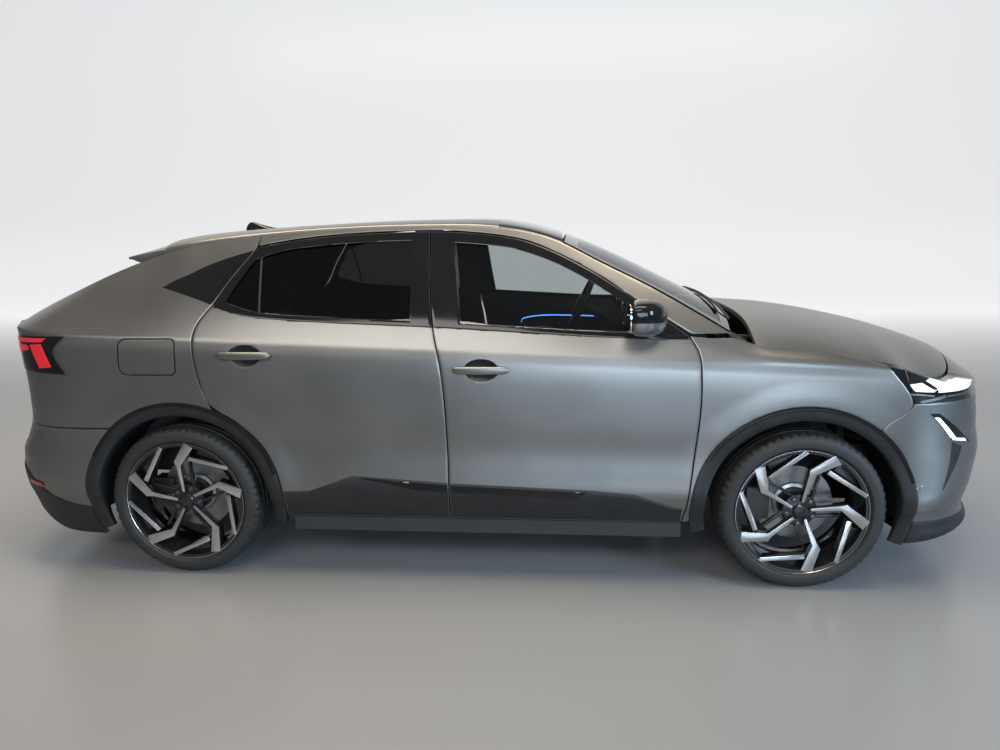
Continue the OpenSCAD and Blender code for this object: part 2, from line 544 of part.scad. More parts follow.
// Towing eyes and plate holes
tow_r = 9;
tow_y = 300;
tow_z = [475, 465];
plate_hole_r = 3;
plate_z = [560, 800];

// Nose: points on the front skin at a height and a plan angle, 0 on the centre line
end_flare = 4;
function end_half(z, x) = half_w - curve(side_inset, (z - sill_z) / (crease_z(x) - sill_z))
  + (z > axle_z ? end_flare : 0);
function signed(a, v) = a < 0 ? -v : v;
function nose_point(z, a, d) =
  let (k = 2 / nose_n)
  [x_nose + (nose_len(z) - d) * pow(abs(cos(a)), k),
   signed(a, (end_half(z, x_nose) - d) * pow(abs(sin(a)), k)), z];
function nose_angle(x, z) = acos(pow(clamp((x - x_nose) / nose_len(z), 0, 1), nose_n / 2));
function split_x(z) = curve([for (p = fender_split) [p[1], p[0]]], z) + split_gap;
front_zs = [196, 222, 245, 300, 370, 470, 560, 615, 665, 725, 786];
lamp_z = 786;
split_gap = 5;
nose_top_z = 888;
nose_cols = 13;
function nose_end(z) = nose_angle(z < 470 ? x_fa + 380 : split_x(z), z);
function nose_row(z, d) =
  [for (i = [nose_cols : -1 : -nose_cols]) nose_point(z, i / nose_cols * nose_end(z), d)];
module bore_x(x, y, z, r, h) translate([x, y, z]) rotate([0, 90, 0]) cylinder(r = r, h = h);
module front_bumper() color("#6f747b") difference() {
  shell([for (z = front_zs) nose_row(z, 0)], [for (z = front_zs) nose_row(z, panel_t)]);
  translate([0, -half_w, 0]) arch_cut(x_fa, arch_r + seat_gap);
  for (y = [-150, 150]) bore_x(px(2000), y, plate_z[0], plate_hole_r, 600);
  bore_x(px(2160), -tow_y, tow_z[0], tow_r + 9, 300);
}
// Above the lamp line the skin leans back to the bonnet's front edge
bonnet_side = half_w - 85;
function brow_point(y) = let (p = bonnet_point(1, clamp(abs(y) / bonnet_side, 0, 1)))
  [p[0] + panel_gap, y, p[2] - 6];
function upper_nose(a, k, d) =
  k <= 1 ? nose_point(lerp(lamp_z + seat_gap, nose_top_z, k), a, d) :
  let (p = nose_point(nose_top_z, a, d), q = brow_point(clamp(p[1], 8 - bonnet_side, bonnet_side - 8)))
  lerp(p, q, k - 1) - [0, 0, d * 0.6];
lamp_inner_a = 40;
nose_ks = [0, 0.5, 1, 1.5, 2];
grille_t = 16;
module grille() color("#23262a")
  shell([for (k = nose_ks) [for (i = [8 : -1 : -8]) upper_nose(i / 8 * lamp_inner_a, k, 0)]],
        [for (k = nose_ks) [for (i = [8 : -1 : -8]) upper_nose(i / 8 * lamp_inner_a, k, grille_t)]]);
function lamp_end_a(k) = let (z = lerp(lamp_z, nose_top_z, min(k, 1))) nose_angle(split_x(z) + 1.5, z);
function lamp_row(k, d) = [for (i = [6 : -1 : 0])
  upper_nose(lerp(lamp_inner_a + 0.1, lamp_end_a(k), i / 6), k, d)];
module headlamps() color("#dfe4e8") for (left = [true, false]) mirrored(left)
  shell([for (k = nose_ks) lamp_row(k, 0)], [for (k = nose_ks) lamp_row(k, grille_t)]);

// Tail: the same way, seen from the rear corner inwards
function tail_point(z, a, d) =
  let (k = 2 / tail_n)
  [x_tail - (tail_len(z) - d) * pow(abs(cos(a)), k),
   signed(a, (end_half(z, x_tail) - d) * pow(abs(sin(a)), k)), z];
function tail_x(y, z) = x_tail - tail_len(z) * rounding(abs(y) / end_half(z, x_tail), tail_n);
function tail_angle(x, z) = acos(pow(clamp((x_tail - x) / tail_len(z), 0, 1), tail_n / 2));
function tail_row(z, d) =
  [for (i = [-nose_cols : nose_cols]) tail_point(z, i / nose_cols * tail_angle(x_ra - 375, z), d)];
rear_zs = [165, 195, 235, 300, 380, 440, 500, 550, 580, 630, bumper_top_z];
behind_x = -body_len / 2 - 145;
module rear_bumper() color("#6a6862") difference() {
  shell([for (z = rear_zs) tail_row(z, 0)], [for (z = rear_zs) tail_row(z, panel_t)]);
  translate([0, -half_w, 0]) arch_cut(x_ra, arch_r + seat_gap);
  bore_x(behind_x, tow_y, tow_z[1], tow_r + 9, 270);
}

// Tailgate: from the roof's end over the rear window and the lip down to the bumper
gate_mid = placed([[-1456, 1524], [-1530, 1496], [-1610, 1448], [-1700, 1400], [-1860, 1340], [-2060, 1262],
                   [-2240, 1190], [-2300, 1158]]);
gate_edge_x = [for (x = [-1456, -1530, -1610, -1700, -1840, -2000, -2140, -2196]) px(x)];
gate_low_zs = [1096, 1040, 990, 936, 860, 770, bumper_top_z + panel_gap];
gate_t = 36;
gate_p = 2.2;
function gate_half(x) = edge_y(x) - flange_t - panel_gap;
function gate_top(r, v) =
  let (i = min(floor(r), 6), f = r - i, m = lerp(gate_mid[i], gate_mid[i + 1], f),
       xe = lerp(gate_edge_x[i], gate_edge_x[i + 1], f), k = pow(abs(v), gate_p))
  [lerp(m[0], xe, k), v * gate_half(xe), lerp(m[1], edge_z(xe) - 4, k)];
function gate_low_half(z) = skin_y(tail_corner_x - 8, z) - flange_t - panel_gap - 8;
function gate_low(z, v) = let (y = v * gate_low_half(z)) [tail_x(y, z), y, z];
gate_vs = [for (a = [-90 : 15 : 90]) sin(a)];
gate_rows = concat([for (r = [0 : 7]) [for (v = gate_vs) gate_top(r, v)]],
                   [for (z = gate_low_zs) [for (v = gate_vs) gate_low(z, v)]]);
gate_offset = concat([for (r = [0 : 5]) [8, -gate_t]], [[20, -30], [34, -24]],
                     [for (z = gate_low_zs) [gate_t, 0]]);
function inset_rows(rows, off, k) = [for (i = [0 : len(rows) - 1]) [for (p = rows[i])
  [p[0] + off[i][0] * k, p[1] * 0.99, p[2] + off[i][1] * k]]];
window_r = [2.3, 5.6];
window_v = 0.8;
window_us = [for (i = [0 : 6]) lerp(window_r[0], window_r[1], i / 6)];
window_low_z = 1120;
module window_prism() translate([0, 0, window_low_z]) linear_extrude(roof_z) polygon(concat(
  [for (r = window_us) let (p = gate_top(r, window_v)) [p[0], p[1]]],
  [for (i = [6 : -1 : -6]) let (p = gate_top(window_r[1], window_v * i / 6)) [p[0], p[1]]],
  [for (r = turned_round(window_us)) let (p = gate_top(r, -window_v)) [p[0], p[1]]],
  [for (i = [-6 : 6]) let (p = gate_top(window_r[0], window_v * i / 6)) [p[0], p[1]]]));
module gate_notches() for (s = [-1, 1])
  translate([gate_axis[0] - 26, s * gate_hinge_y - 26, gate_axis[1] - 80]) cube([80, 52, 160]);
module tailgate() color("#77736a") {
  difference() {
    shell(turned_round(gate_rows), turned_round(inset_rows(gate_rows, gate_offset, 1)));
    window_prism();
    gate_notches();
    for (y = [-150, 150]) bore_x(behind_x, y, plate_z[1], plate_hole_r, 600);
  }
  for (s = [-1, 1]) lid_eye(gate_axis, s * gate_hinge_y, [[-24, -52, 24, 46], [-46, -62, 24, 20]]);
}
module rear_window() color("#101214", 0.8) {
  us = [for (i = [0 : 6]) lerp(window_r[0] + 0.004, window_r[1] - 0.004, i / 6)];
  vs = [for (i = [-6 : 6]) i / 6 * (window_v - 0.004)];
  g = [for (r = turned_round(us)) [for (v = vs) gate_top(r, v)]];
  shell([for (r = g) [for (p = r) p - [0, 0, 8]]], [for (r = g) [for (p = r) p - [0, 0, 8 + glass_t]]]);
}
// Spoiler: lies on the upper end of the tailgate and runs out over the rear window
spoiler_top = placed([[-1700, 1432], [-1650, 1462], [-1600, 1488], [-1530, 1519], [-1456, 1540]]);
spoiler_t = 34;
function spoiler_point(p, v, low) =
  let (x = p[0], w = gate_half(x) - 20, zt = lerp(p[1], edge_z(x) + 22, pow(abs(v), 2.4)),
       r = lookup(x, [for (i = [0 : 3]) [gate_edge_x[i], i]]))
  [x, v * w, low ? max(gate_top(r, v * w / gate_half(x))[2] + 1.5, zt - spoiler_t) : zt];
module spoiler() color("#77736a") difference() {
  shell([for (p = spoiler_top) [for (v = gate_vs) spoiler_point(p, v, false)]],
        [for (p = spoiler_top) [for (v = gate_vs) spoiler_point(p, v, true)]]);
  gate_notches();
}

// Tail lamps: lenses on the rear corners, and their inner halves on the tailgate
lamp_grid = region(
  placed([[-2190, 936], [-2040, 930], [-1900, 924]]), placed([[-2196, 1096], [-2040, 1100], [-1850, 1098]]),
  placed([[-2190, 936], [-2196, 1096]]), placed([[-1900, 924], [-1940, 1020], [-1850, 1098]]), 6, 4);
module tail_lamps() color("#8c1418") for (left = [true, false]) mirrored(left)
  shell(on_skin(lamp_grid, -9.5), on_skin(lamp_grid, -4.2));
gate_lamp_zs = [936, 990, 1040, 1096];
module gate_lamps() color("#8c1418") for (s = [-1, 1]) {
  vs = [for (a = s > 0 ? [30 : 15 : 75] : [-75 : 15 : -30]) sin(a)];
  g = [for (z = gate_lamp_zs) [for (v = vs) gate_low(z, v)]];
  shell([for (r = g) [for (p = r) p - [9, 0, 0]]], [for (r = g) [for (p = r) p - [seat_gap, 0, 0]]]);
}

// Wheel arches: trims that follow the skin, and the liners inside them
trim_proud = 3;
trim_depth = 72;
arch_end_a = -7;
module arch_trim(x, a0, a1) {
  as = [for (i = [0 : 22]) lerp(a1, a0, i / 22)];
  rs = [arch_in_r, (arch_in_r + arch_r) / 2, arch_r];
  function p(r, a) = [x + r * cos(a), axle_z + r * sin(a)];
  shell([for (r = rs) [for (a = as) let (q = p(r, a)) [q[0], skin_y(q[0], q[1]) + trim_proud, q[1]]]],
        [for (r = rs) [for (a = as) let (q = p(r, a)) [q[0], half_w - trim_depth, q[1]]]]);
}
module arch_trims() color("#2b2d30") for (left = [true, false]) mirrored(left) {
  arch_trim(x_fa, arch_end_a, 180 - arch_end_a);
  arch_trim(x_ra, arch_end_a, 180 - arch_end_a);
}
liner_front_r = 420;
liner_t = 6;
rear_liner_y = half_w - 283;
module liner(x, r, y0)
  translate([x, half_w - trim_depth - seat_gap, axle_z]) rotate([90, 0, 0])
    rotate([0, 0, arch_end_a]) rotate_extrude(angle = 180 - 2 * arch_end_a)
      translate([r, 0]) square([liner_t, half_w - trim_depth - seat_gap - y0]);
module wheel_liners() color("#17181a") for (left = [true, false]) mirrored(left) {
  liner(x_fa, liner_front_r, half_w - 308);
  liner(x_ra, arch_in_r + 2, rear_liner_y);
}

// Floor pan with the sills
pan_z = [215, sill_z - 9];
pan_x = [x_ra + arch_r + 30, x_fa - arch_r - 30];
sill_top_z = sill_z + 60 - seat_gap;
sill_y = pillar_y - 100;
module box(a, b) translate(a) cube(b - a);
module both(a, b) for (s = [0, 1]) mirror([0, s, 0]) box(a, b);
module floor() color("#303336") {
  box([pan_x[0], -half_w + 48, pan_z[0]], [pan_x[1], half_w - 48, pan_z[1]]);
  both([pan_x[0], sill_y, pan_z[1] - 1], [pan_x[1], pillar_y, sill_top_z]);
}

// Bulkhead with the hinge posts, and the cowl that carries the bonnet's hinges
wing_z = 800;
shelf_t = 15;
cowl_x = px(1120);
cowl_z = [1040, 1062];
foot_z = cowl_z[1] - 12;
module bulkhead() color("#303336") {
  wall_x = [pan_x[1] - 10, pan_x[1] + 10];
  both([pan_x[1] - 60, sill_y, sill_top_z + seat_gap], [x_fa - 440, pillar_y, cowl_z[0]]);
  box([wall_x[0], -pillar_y + 1, sill_top_z + seat_gap], [wall_x[1], pillar_y - 1, wing_z]);
  box([wall_x[0], 1 - sill_y, pan_z[1] + seat_gap], [wall_x[1], sill_y - 1, sill_top_z + 2]);
  box([wall_x[0], -pillar_y + 1, wing_z - 1], [cowl_x, pillar_y - 1, wing_z + shelf_t]);
  box([cowl_x - 20, -pillar_y + 1, wing_z], [cowl_x, pillar_y - 1, cowl_z[1]]);
  box([cowl_x - 28, 193 - half_w, cowl_z[0]], [cowl_x + 70, half_w - 193, cowl_z[1]]);
  for (s = [-1, 1]) {
    lid_pin(bonnet_axis, s * lid_hinge_y, [-7, foot_z - bonnet_axis[1], 14, bonnet_axis[1] - foot_z + 5]);
    translate([cowl_x + 60, s * lid_hinge_y - 21, foot_z]) cube([bonnet_axis[0] + 8 - cowl_x - 60, 42, 12]);
  }
}

// Front frame: rails, front beam, and the wings over the wheel houses
kingpin_in = 85;
king_y = wheel_y - kingpin_in;
rail_y = [king_y - 322, king_y - 262];
beam_z = [430, 520];
wing_y = half_w - 103;
wing_tab_x = [px(1140), px(1640)];
wing_tab_w = 50;
function wing_tab_y(x) =
  min([for (t = [x, x + wing_tab_w]) skin_y(t, wing_z + shelf_t)]) - panel_t - seat_gap;
module front_frame() color("#303336") difference() {
  union() {
    both([pan_x[1] + 10 + seat_gap, rail_y[0], beam_z[0]], [px(2140), rail_y[1], beam_z[1]]);
    box([px(2100), -rail_y[1] - 80, beam_z[0]], [px(2150), rail_y[1] + 80, beam_z[1]]);
    both([cowl_x + seat_gap, rail_y[0], wing_z], [px(1760), wing_y, wing_z + shelf_t]);
    for (x = wing_tab_x)
      both([x, wing_y - 1, wing_z], [x + wing_tab_w, wing_tab_y(x), wing_z + shelf_t]);
    for (x = [cowl_x + seat_gap, px(1700)])
      both([x, rail_y[0], beam_z[1] - 1], [x + 30, rail_y[1], wing_z + 1]);
  }
  bore_x(px(2050), -tow_y, tow_z[0], tow_r, 200);
}

// Load floor with its front wall, the inner rear walls and the rear beam
load_z = 425;
load_t = 25;
wall_y = min(wheel_y - tyre_w / 2 - 54.5, rear_liner_y - 20);
wall_top_z = 930;
module load_floor() color("#303336") difference() {
  union() {
    box([pan_x[0] - 20, -wall_y, pan_z[0]], [pan_x[0] - seat_gap, wall_y, load_z]);
    box([px(-2190), -wall_y, load_z - load_t], [pan_x[0] - seat_gap, wall_y, load_z]);
    both([px(-1960), wall_y - 12, load_z - 1], [pan_x[0] - 100, wall_y, wall_top_z]);
    box([px(-2210), 70 - wall_y, beam_z[0] - 20], [px(-2170), wall_y - 70, beam_z[1]]);
  }
  bore_x(px(-2300), tow_y, tow_z[1], tow_r, 200);
}

// Road wheels, modelled with the outer face towards +Y at the origin
rim_w = 216;
seat_r = rim_r - 12;
barrel_t = 9;
hub_r = 74;
disc_r = 168;
disc_y = [-46, -20];
spoke_t = 34;
module ring_of(points) rotate([-90, 0, 0]) rotate_extrude() polygon([for (p = points) [p[0], -p[1]]]);
function both_edges(p) = concat(p, [for (q = turned_round(p)) [q[0], -q[1]]]);
module tyre_shape() ring_of(both_edges([
  [seat_r, -rim_w / 2 + 14], [rim_r + 3, -rim_w / 2 + 3], [rim_r + 28, -tyre_w / 2],
  [tyre_r - 18, -tyre_w / 2 + 6], [tyre_r - 4, -tyre_w / 2 + 22], [tyre_r, -tyre_w / 2 + 44]]));
well_r = seat_r - 20;
module rim_ring() {
  g = seat_gap;
  e = rim_w / 2;
  ring_of([[seat_r - g, -e + 13], [seat_r - g, -62], [well_r, -40], [well_r, 40], [seat_r - g, 66],
    [seat_r - g, e - 13], [rim_r, e - 2], [rim_r, e + 4], [seat_r - 8, e + 4], [seat_r - barrel_t - 4, 66],
    [well_r - barrel_t, 44], [well_r - barrel_t, -40], [seat_r - barrel_t, -64], [seat_r - barrel_t, -e],
    [rim_r, -e - 1], [rim_r, -e + 3]]);
}
spoke_y = 62;
spoke_knee = 165;
module spoke() translate([0, spoke_y + spoke_t, 0]) rotate([90, 0, 0]) linear_extrude(spoke_t)
  polygon([[hub_r - 24, -26], [spoke_knee, -20], [206, -38], [seat_r - 6, -92], [seat_r - 2, -52],
           [seat_r + 2, 10], [198, 28], [spoke_knee, 20], [hub_r - 24, 26]]);
module rim_shape() {
  rim_ring();
  intersection() {
    rotate([-90, 0, 0]) cylinder(r = seat_r - 3, h = rim_w);
    for (i = [0 : 4]) rotate([0, 72 * i, 0]) spoke();
  }
}
module wheel_shape() difference() {
  union() {
    rim_shape();
    translate([0, -14, 0]) rotate([-90, 0, 0]) cylinder(r = hub_r, h = 108);
    translate([0, disc_y[0], 0]) rotate([-90, 0, 0]) cylinder(r = disc_r, h = disc_y[1] - disc_y[0]);
    translate([0, disc_y[1] - 1, 0]) rotate([-90, 0, 0]) cylinder(r = hub_r, h = 12);
  }
  translate([0, -80, 0]) rotate([-90, 0, 0]) cylinder(r = spindle_r + running_gap, h = 140);
}
module at_wheel(front, left)
  translate([front ? x_fa : x_ra, left ? wheel_y : -wheel_y, axle_z])
    rotate([0, 0, left ? 0 : 180]) children();
module tyre(front, left) color("#1a1a1b") at_wheel(front, left) tyre_shape();
module wheel(front, left) color("#8f9294") at_wheel(front, left) wheel_shape();

// Front knuckle: upright with the spindle, the steering pins and the brake caliper
upright_h = 118;
pin_len = 46;
caliper_x = [-206, -108];
module caliper() difference() {
  box([caliper_x[0], -74, -72], [caliper_x[1], 4, 72]);
  rod_y(disc_y[0] - 5, disc_r + 6, disc_y[1] - disc_y[0] + 10);
}
module rod_y(y, r, h) translate([0, y, 0]) rotate([-90, 0, 0]) cylinder(r = r, h = h);
module hub_carrier(h) {
  box([-42, -kingpin_in - 21, -h], [42, -kingpin_in + 21, h]);
  rod_y(-kingpin_in, spindle_r, kingpin_in + 52);
  rod_y(-kingpin_in, spindle_r + 16, kingpin_in + disc_y[0] - seat_gap);
  box([caliper_x[0] + 10, -kingpin_in - 15, -26], [-30, -kingpin_in + 12, 26]);
  caliper();
}
module knuckle(left) color("#4a4d50") mirrored(left) translate([x_fa, wheel_y, axle_z]) {
  hub_carrier(upright_h);
  translate([0, -kingpin_in, -upright_h - pin_len]) cylinder(r = kingpin_r, h = 2 * upright_h + 2 * pin_len);
}

// Front subframe with the arms and struts that hold the steering pins
arm_t = 34;
module arm_eye(z) difference() {
  union() {
    translate([x_fa, king_y, z]) cylinder(r = kingpin_r + 16, h = arm_t);
    box([x_fa - 24, king_y - 222, z], [x_fa + 24, king_y, z + arm_t]);
  }
  translate([x_fa, king_y, z - 10]) cylinder(r = kingpin_r + running_gap, h = arm_t + 20);
}
engine_x = [px(1190), px(1690)];
engine_y = rail_y[0] - 50;
engine_z = [320, 860];
leg_x = [x_fa - 110, x_fa + 90];
module front_subframe() color("#3a3d40") {
  low_z = axle_z - upright_h - 6 - arm_t;
  top_z = axle_z + upright_h + 6;
  box([x_fa - 230, 20 - rail_y[1], low_z], [x_fa + 290, rail_y[1] - 20, low_z + arm_t]);
  for (s = [0, 1]) mirror([0, s, 0]) {
    arm_eye(low_z);
    box([x_fa - 24, king_y - 292, low_z], [x_fa + 24, king_y - 202, low_z + arm_t]);
    arm_eye(top_z);
    translate([x_fa, king_y - 132, top_z]) cylinder(r = 26, h = wing_z - top_z - seat_gap);
    box([x_fa - 24, king_y - 232, low_z], [x_fa + 24, king_y - 202, top_z + arm_t]);
    box([leg_x[0], rail_y[0] - 40, low_z + arm_t - 1], [leg_x[1], rail_y[0], beam_z[0] - seat_gap]);
    box([leg_x[0], rail_y[0] - 5, beam_z[0] - 50], [leg_x[1], rail_y[1] - 20, beam_z[0] - seat_gap]);
  }
  box([x_fa - 160, 150 - engine_y, low_z + arm_t - 1], [x_fa + 190, engine_y - 150, engine_z[0] - seat_gap]);
}
module engine() color("#3c3f42")
  box([engine_x[0], -engine_y, engine_z[0]], [engine_x[1], engine_y, engine_z[1]]);

// Rear axle: beam with trailing arms, hub carriers and calipers
arm_y = [wheel_y - 287, wheel_y - 227];
module rear_axle() color("#3a3d40") {
  translate([x_ra, 0, axle_z]) rotate([90, 0, 0]) cylinder(r = 38, h = 2 * king_y, center = true);
  for (s = [0, 1]) mirror([0, s, 0]) {
    translate([x_ra, wheel_y, axle_z]) hub_carrier(90);
    box([x_ra - 30, arm_y[0], axle_z - 30], [pan_x[0] - 20 - seat_gap, arm_y[1], axle_z + 30]);
    translate([x_ra, wheel_y - 247, axle_z]) cylinder(r = 40, h = load_z - load_t - axle_z - seat_gap);
  }
}

// Cabin
seat_y = pillar_y - 409;
module cushion(x0, x1, w, z0, z1) hull() {
  box([x0 + 20, -w / 2 + 30, z0], [x1 - 40, w / 2 - 30, z0 + 10]);
  box([x0, -w / 2, z0 + 40], [x1 - 10, w / 2, z1 - 40]);
  box([x0 + 10, -w / 2 + 30, z1 - 10], [x1 - 40, w / 2 - 30, z1]);
  box([x1 - 20, -w / 2 + 40, z1 - 60], [x1, w / 2 - 40, z1 - 40]);
}
module backrest(x, w, z0, z1, t) hull() {
  lean = (z1 - z0) * 0.34;
  box([x - 10, -w / 2 + 20, z0], [x + t, w / 2 - 20, z0 + 20]);
  box([x - lean * 0.55, -w / 2, lerp(z0, z1, 0.55)], [x + t - lean * 0.5, w / 2, lerp(z0, z1, 0.6)]);
  box([x - lean, -w / 2 + 70, z1 - 20], [x + t * 0.6 - lean, w / 2 - 70, z1]);
}
module headrest(x, z) hull() {
  box([x - 20, -110, z + 20], [x + 50, 110, z + 130]);
  box([x, -130, z + 50], [x + 40, 130, z + 110]);
  box([x - 10, -90, z], [x + 40, 90, z + 160]);
}
front_seat_x = px(-160);
seat_z = [430, 590];
base_z = seat_z[0] + 20;
module front_seats() color("#1f2124") for (s = [-1, 1]) translate([front_seat_x, s * seat_y, 0]) {
  cushion(0, 520, 500, seat_z[0], seat_z[1]);
  backrest(10, 500, 480, 1140, 110);
  headrest(-212, 1130);
  for (y = [-200, 150]) box([40, y, pan_z[1] + seat_gap], [400, y + 50, base_z]);
}
rear_seat_x = x_ra + 238;
rear_seat_w = 2 * (pillar_y - 164);
module rear_seat() color("#1f2124") translate([rear_seat_x, 0, 0]) {
  cushion(0, 530, rear_seat_w, seat_z[0], seat_z[1]);
  backrest(10, rear_seat_w, 480, 1110, 110);
  for (y = [-seat_y - 5, seat_y + 5]) translate([0, y, 0]) headrest(-200, 1100);
  base_y = rear_seat_w / 2 - 110;
  box([pan_x[0] + 20 - rear_seat_x, -base_y, pan_z[1] + seat_gap], [470, base_y, base_z]);
}
dash_y = pillar_y - 109;
dash_low_z = wing_z + shelf_t + seat_gap;
module dashboard() color("#1b1c1f") {
  side_prism(placed([[1085, dash_low_z], [1085, 1030], [1000, 1100], [860, 1128], [720, 1120], [690, 1060],
                     [730, 960], [800, 860], [850, dash_low_z]]), -dash_y, dash_y);
  on_column() translate([0, 0, column_len + seat_gap]) cylinder(r = 42, h = 130);
}
wheel_c = [px(690) - 190, seat_y, 1105];
column_len = 150;
module on_column() translate(wheel_c) rotate([0, 114, 0]) children();
module steering_wheel() color("#17181a") on_column() {
  rotate_extrude() translate([172, 0]) circle(r = 15);
  cylinder(r = 62, h = 44, center = true);
  for (a = [90, 180, 270]) rotate([0, 0, a]) translate([40, -22, -12]) cube([128, 44, 20]);
  cylinder(r = 30, h = column_len);
}

floor();
bulkhead();
front_frame();
load_floor();
bonnet();
windscreen();
roof();
roof_glass();
antenna();
fender(true);  // fender_left
fender(false);  // fender_right
roof_rail(true);  // roof_rail_left
roof_rail(false);  // roof_rail_right
quarter(true);  // quarter_left
quarter(false);  // quarter_right
front_bumper();
grille();
rear_bumper();
headlamps();
tail_lamps();
arch_trims();
wheel_liners();
door_hinges();
door_front(true);  // door_front_left
door_front(false);  // door_front_right
door_rear(true);  // door_rear_left
door_rear(false);  // door_rear_right
glass_front(true);  // glass_front_left
glass_front(false);  // glass_front_right
glass_rear(true);  // glass_rear_left
glass_rear(false);  // glass_rear_right
mirror_pod(true);  // mirror_left
mirror_pod(false);  // mirror_right
tailgate();
rear_window();
spoiler();
gate_lamps();
fuel_flap();
knuckle(true);  // knuckle_left
knuckle(false);  // knuckle_right
front_subframe();
rear_axle();
engine();
tyre(true, true);  // tyre_front_left
tyre(true, false);  // tyre_front_right
tyre(false, true);  // tyre_rear_left
tyre(false, false);  // tyre_rear_right
wheel(true, true);  // wheel_front_left
wheel(true, false);  // wheel_front_right
wheel(false, true);  // wheel_rear_left
wheel(false, false);  // wheel_rear_right
front_seats();
rear_seat();
dashboard();
steering_wheel();
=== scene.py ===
import math
import bpy
import numpy as np
from mathutils import Matrix, Vector
from mathutils.bvhtree import BVHTree


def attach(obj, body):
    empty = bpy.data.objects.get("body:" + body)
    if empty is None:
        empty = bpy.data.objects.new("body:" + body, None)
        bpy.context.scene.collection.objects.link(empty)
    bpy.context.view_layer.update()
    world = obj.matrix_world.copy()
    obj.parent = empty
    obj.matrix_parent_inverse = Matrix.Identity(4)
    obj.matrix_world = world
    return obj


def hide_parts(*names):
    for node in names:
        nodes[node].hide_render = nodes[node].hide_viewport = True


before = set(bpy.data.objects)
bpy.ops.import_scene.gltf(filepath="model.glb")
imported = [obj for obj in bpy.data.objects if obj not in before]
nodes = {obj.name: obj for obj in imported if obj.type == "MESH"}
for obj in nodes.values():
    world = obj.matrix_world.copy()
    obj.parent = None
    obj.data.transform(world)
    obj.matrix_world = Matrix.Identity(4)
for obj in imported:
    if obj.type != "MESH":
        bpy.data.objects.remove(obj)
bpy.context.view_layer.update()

bpy.ops.object.select_all(action="DESELECT")
scene = bpy.context.scene

# Body surface, in millimetres, the same curves as the part's source
BODY_LEN, HALF_W, SILL_Z = 4710.0, 933.0, 287.0
X_FA, X_RA, AXLE_Z, WHEEL_Y = 1410.0, -1328.0, 350.0, 807.0
ARCH_R, ARCH_CUT, CLAD_CUT, PANEL_GAP = 470.0, 0.3, 2.5, 6.0
DOOR_T, FRAME_T, PANEL_T, GLASS_T, FLANGE_T = 105.0, 42.0, 24.0, 5.0, 6.0
HALF_GAP, MERGE_M = PANEL_GAP / 2, 0.00005


def hermite(p, q, m, n, t):
    return (1 + 2 * t) * (1 - t) ** 2 * p + t * (1 - t) ** 2 * m + t * t * (3 - 2 * t) * q + t * t * (t - 1) * n


def curve(knots, x):
    k = np.asarray(knots, float)
    kx, kv, n = k[:, 0], k[:, 1], len(knots)
    lo, hi = np.maximum(np.arange(n) - 1, 0), np.minimum(np.arange(n) + 1, n - 1)
    sl = (kv[hi] - kv[lo]) / (kx[hi] - kx[lo])
    x = np.asarray(x, float)
    i = np.clip(np.searchsorted(kx, x, side="right") - 1, 0, n - 2)
    h = kx[i + 1] - kx[i]
    t = np.clip((x - kx[i]) / h, 0, 1)
    return hermite(kv[i], kv[i + 1], sl[i] * h, sl[i + 1] * h, t)


def along(points, t):
    p = np.asarray(points, float)
    n = len(p) - 1
    t = np.atleast_1d(np.asarray(t, float))
    i = np.minimum(np.floor(t * n).astype(int), n - 1)
    f = (t * n - i)[:, None]
    a, b = np.maximum(i - 1, 0), np.minimum(i + 2, n)
    m0 = (p[i + 1] - p[a]) / np.where(i > 0, 2, 1)[:, None]
    m1 = (p[b] - p[i]) / np.where(i + 2 <= n, 2, 1)[:, None]
    return hermite(p[i], p[i + 1], m0, m1, f)


def lerp(a, b, t):
    return a + (b - a) * t


def circle(n):
    return np.linspace(0, 2 * np.pi, n, endpoint=False)


def bowed(v, p):
    """A sine or cosine raised to a power, with its sign kept, for rounded squares."""
    return np.sign(v) * np.abs(v) ** p


def mesh_grid(u, v):
    return np.meshgrid(u, v, indexing="ij")


def by_height(line, z):
    """x at height z on a line of x, z points."""
    return curve([[p[1], p[0]] for p in line], z)


def soft_edge(t, k):
    return np.clip(np.minimum(t, 1 - t) * k, 0, 1) ** 0.5


SIDES = ((1, "left"), (-1, "right"))


SIDE_INSET = [[-0.25, 75], [0, 42], [0.1, 20], [0.19, 8], [0.28, 13], [0.42, 21], [0.6, 13], [0.8, 10], [0.93, 16],
    [1, 27]]
X_NOSE, X_TAIL, NOSE_N, TAIL_N = X_FA + 290, X_RA - 322, 2.6, 3.2
NOSE_INSET = [[180, 110], [205, 40], [235, 8], [262, 28], [330, 46], [480, 14], [560, 0], [620, 9], [665, 24],
    [740, 34], [880, 66], [915, 92], [960, 130], [1100, 190]]
TAIL_INSET = [[150, 130], [213, 60], [260, 32], [360, 8], [440, 2], [500, 0], [550, 5], [600, 34], [690, 78],
    [860, 92], [1000, 82], [1100, 68], [1150, 60], [1250, 110]]
EDGE_Z = [[-2205, 1152], [-2100, 1203], [-1900, 1294], [-1700, 1378], [-1500, 1446], [-1300, 1497], [-1000, 1536],
    [-650, 1561], [-275, 1570], [0, 1566], [150, 1552], [260, 1533], [380, 1494], [560, 1402], [785, 1290],
    [1000, 1168], [1095, 1112], [1180, 1070], [1264, 1045], [1504, 1026], [1658, 1003], [1740, 984], [1850, 966]]
EDGE_INSET = [[-2205, 304], [-2100, 285], [-1900, 284], [-1700, 288], [-1500, 284], [-1300, 274], [-1000, 266],
    [-275, 262], [150, 262], [380, 250], [560, 220], [785, 166], [1000, 112], [1095, 92], [1180, 78], [1264, 64],
    [1504, 64], [1658, 68], [1740, 70], [1850, 80]]
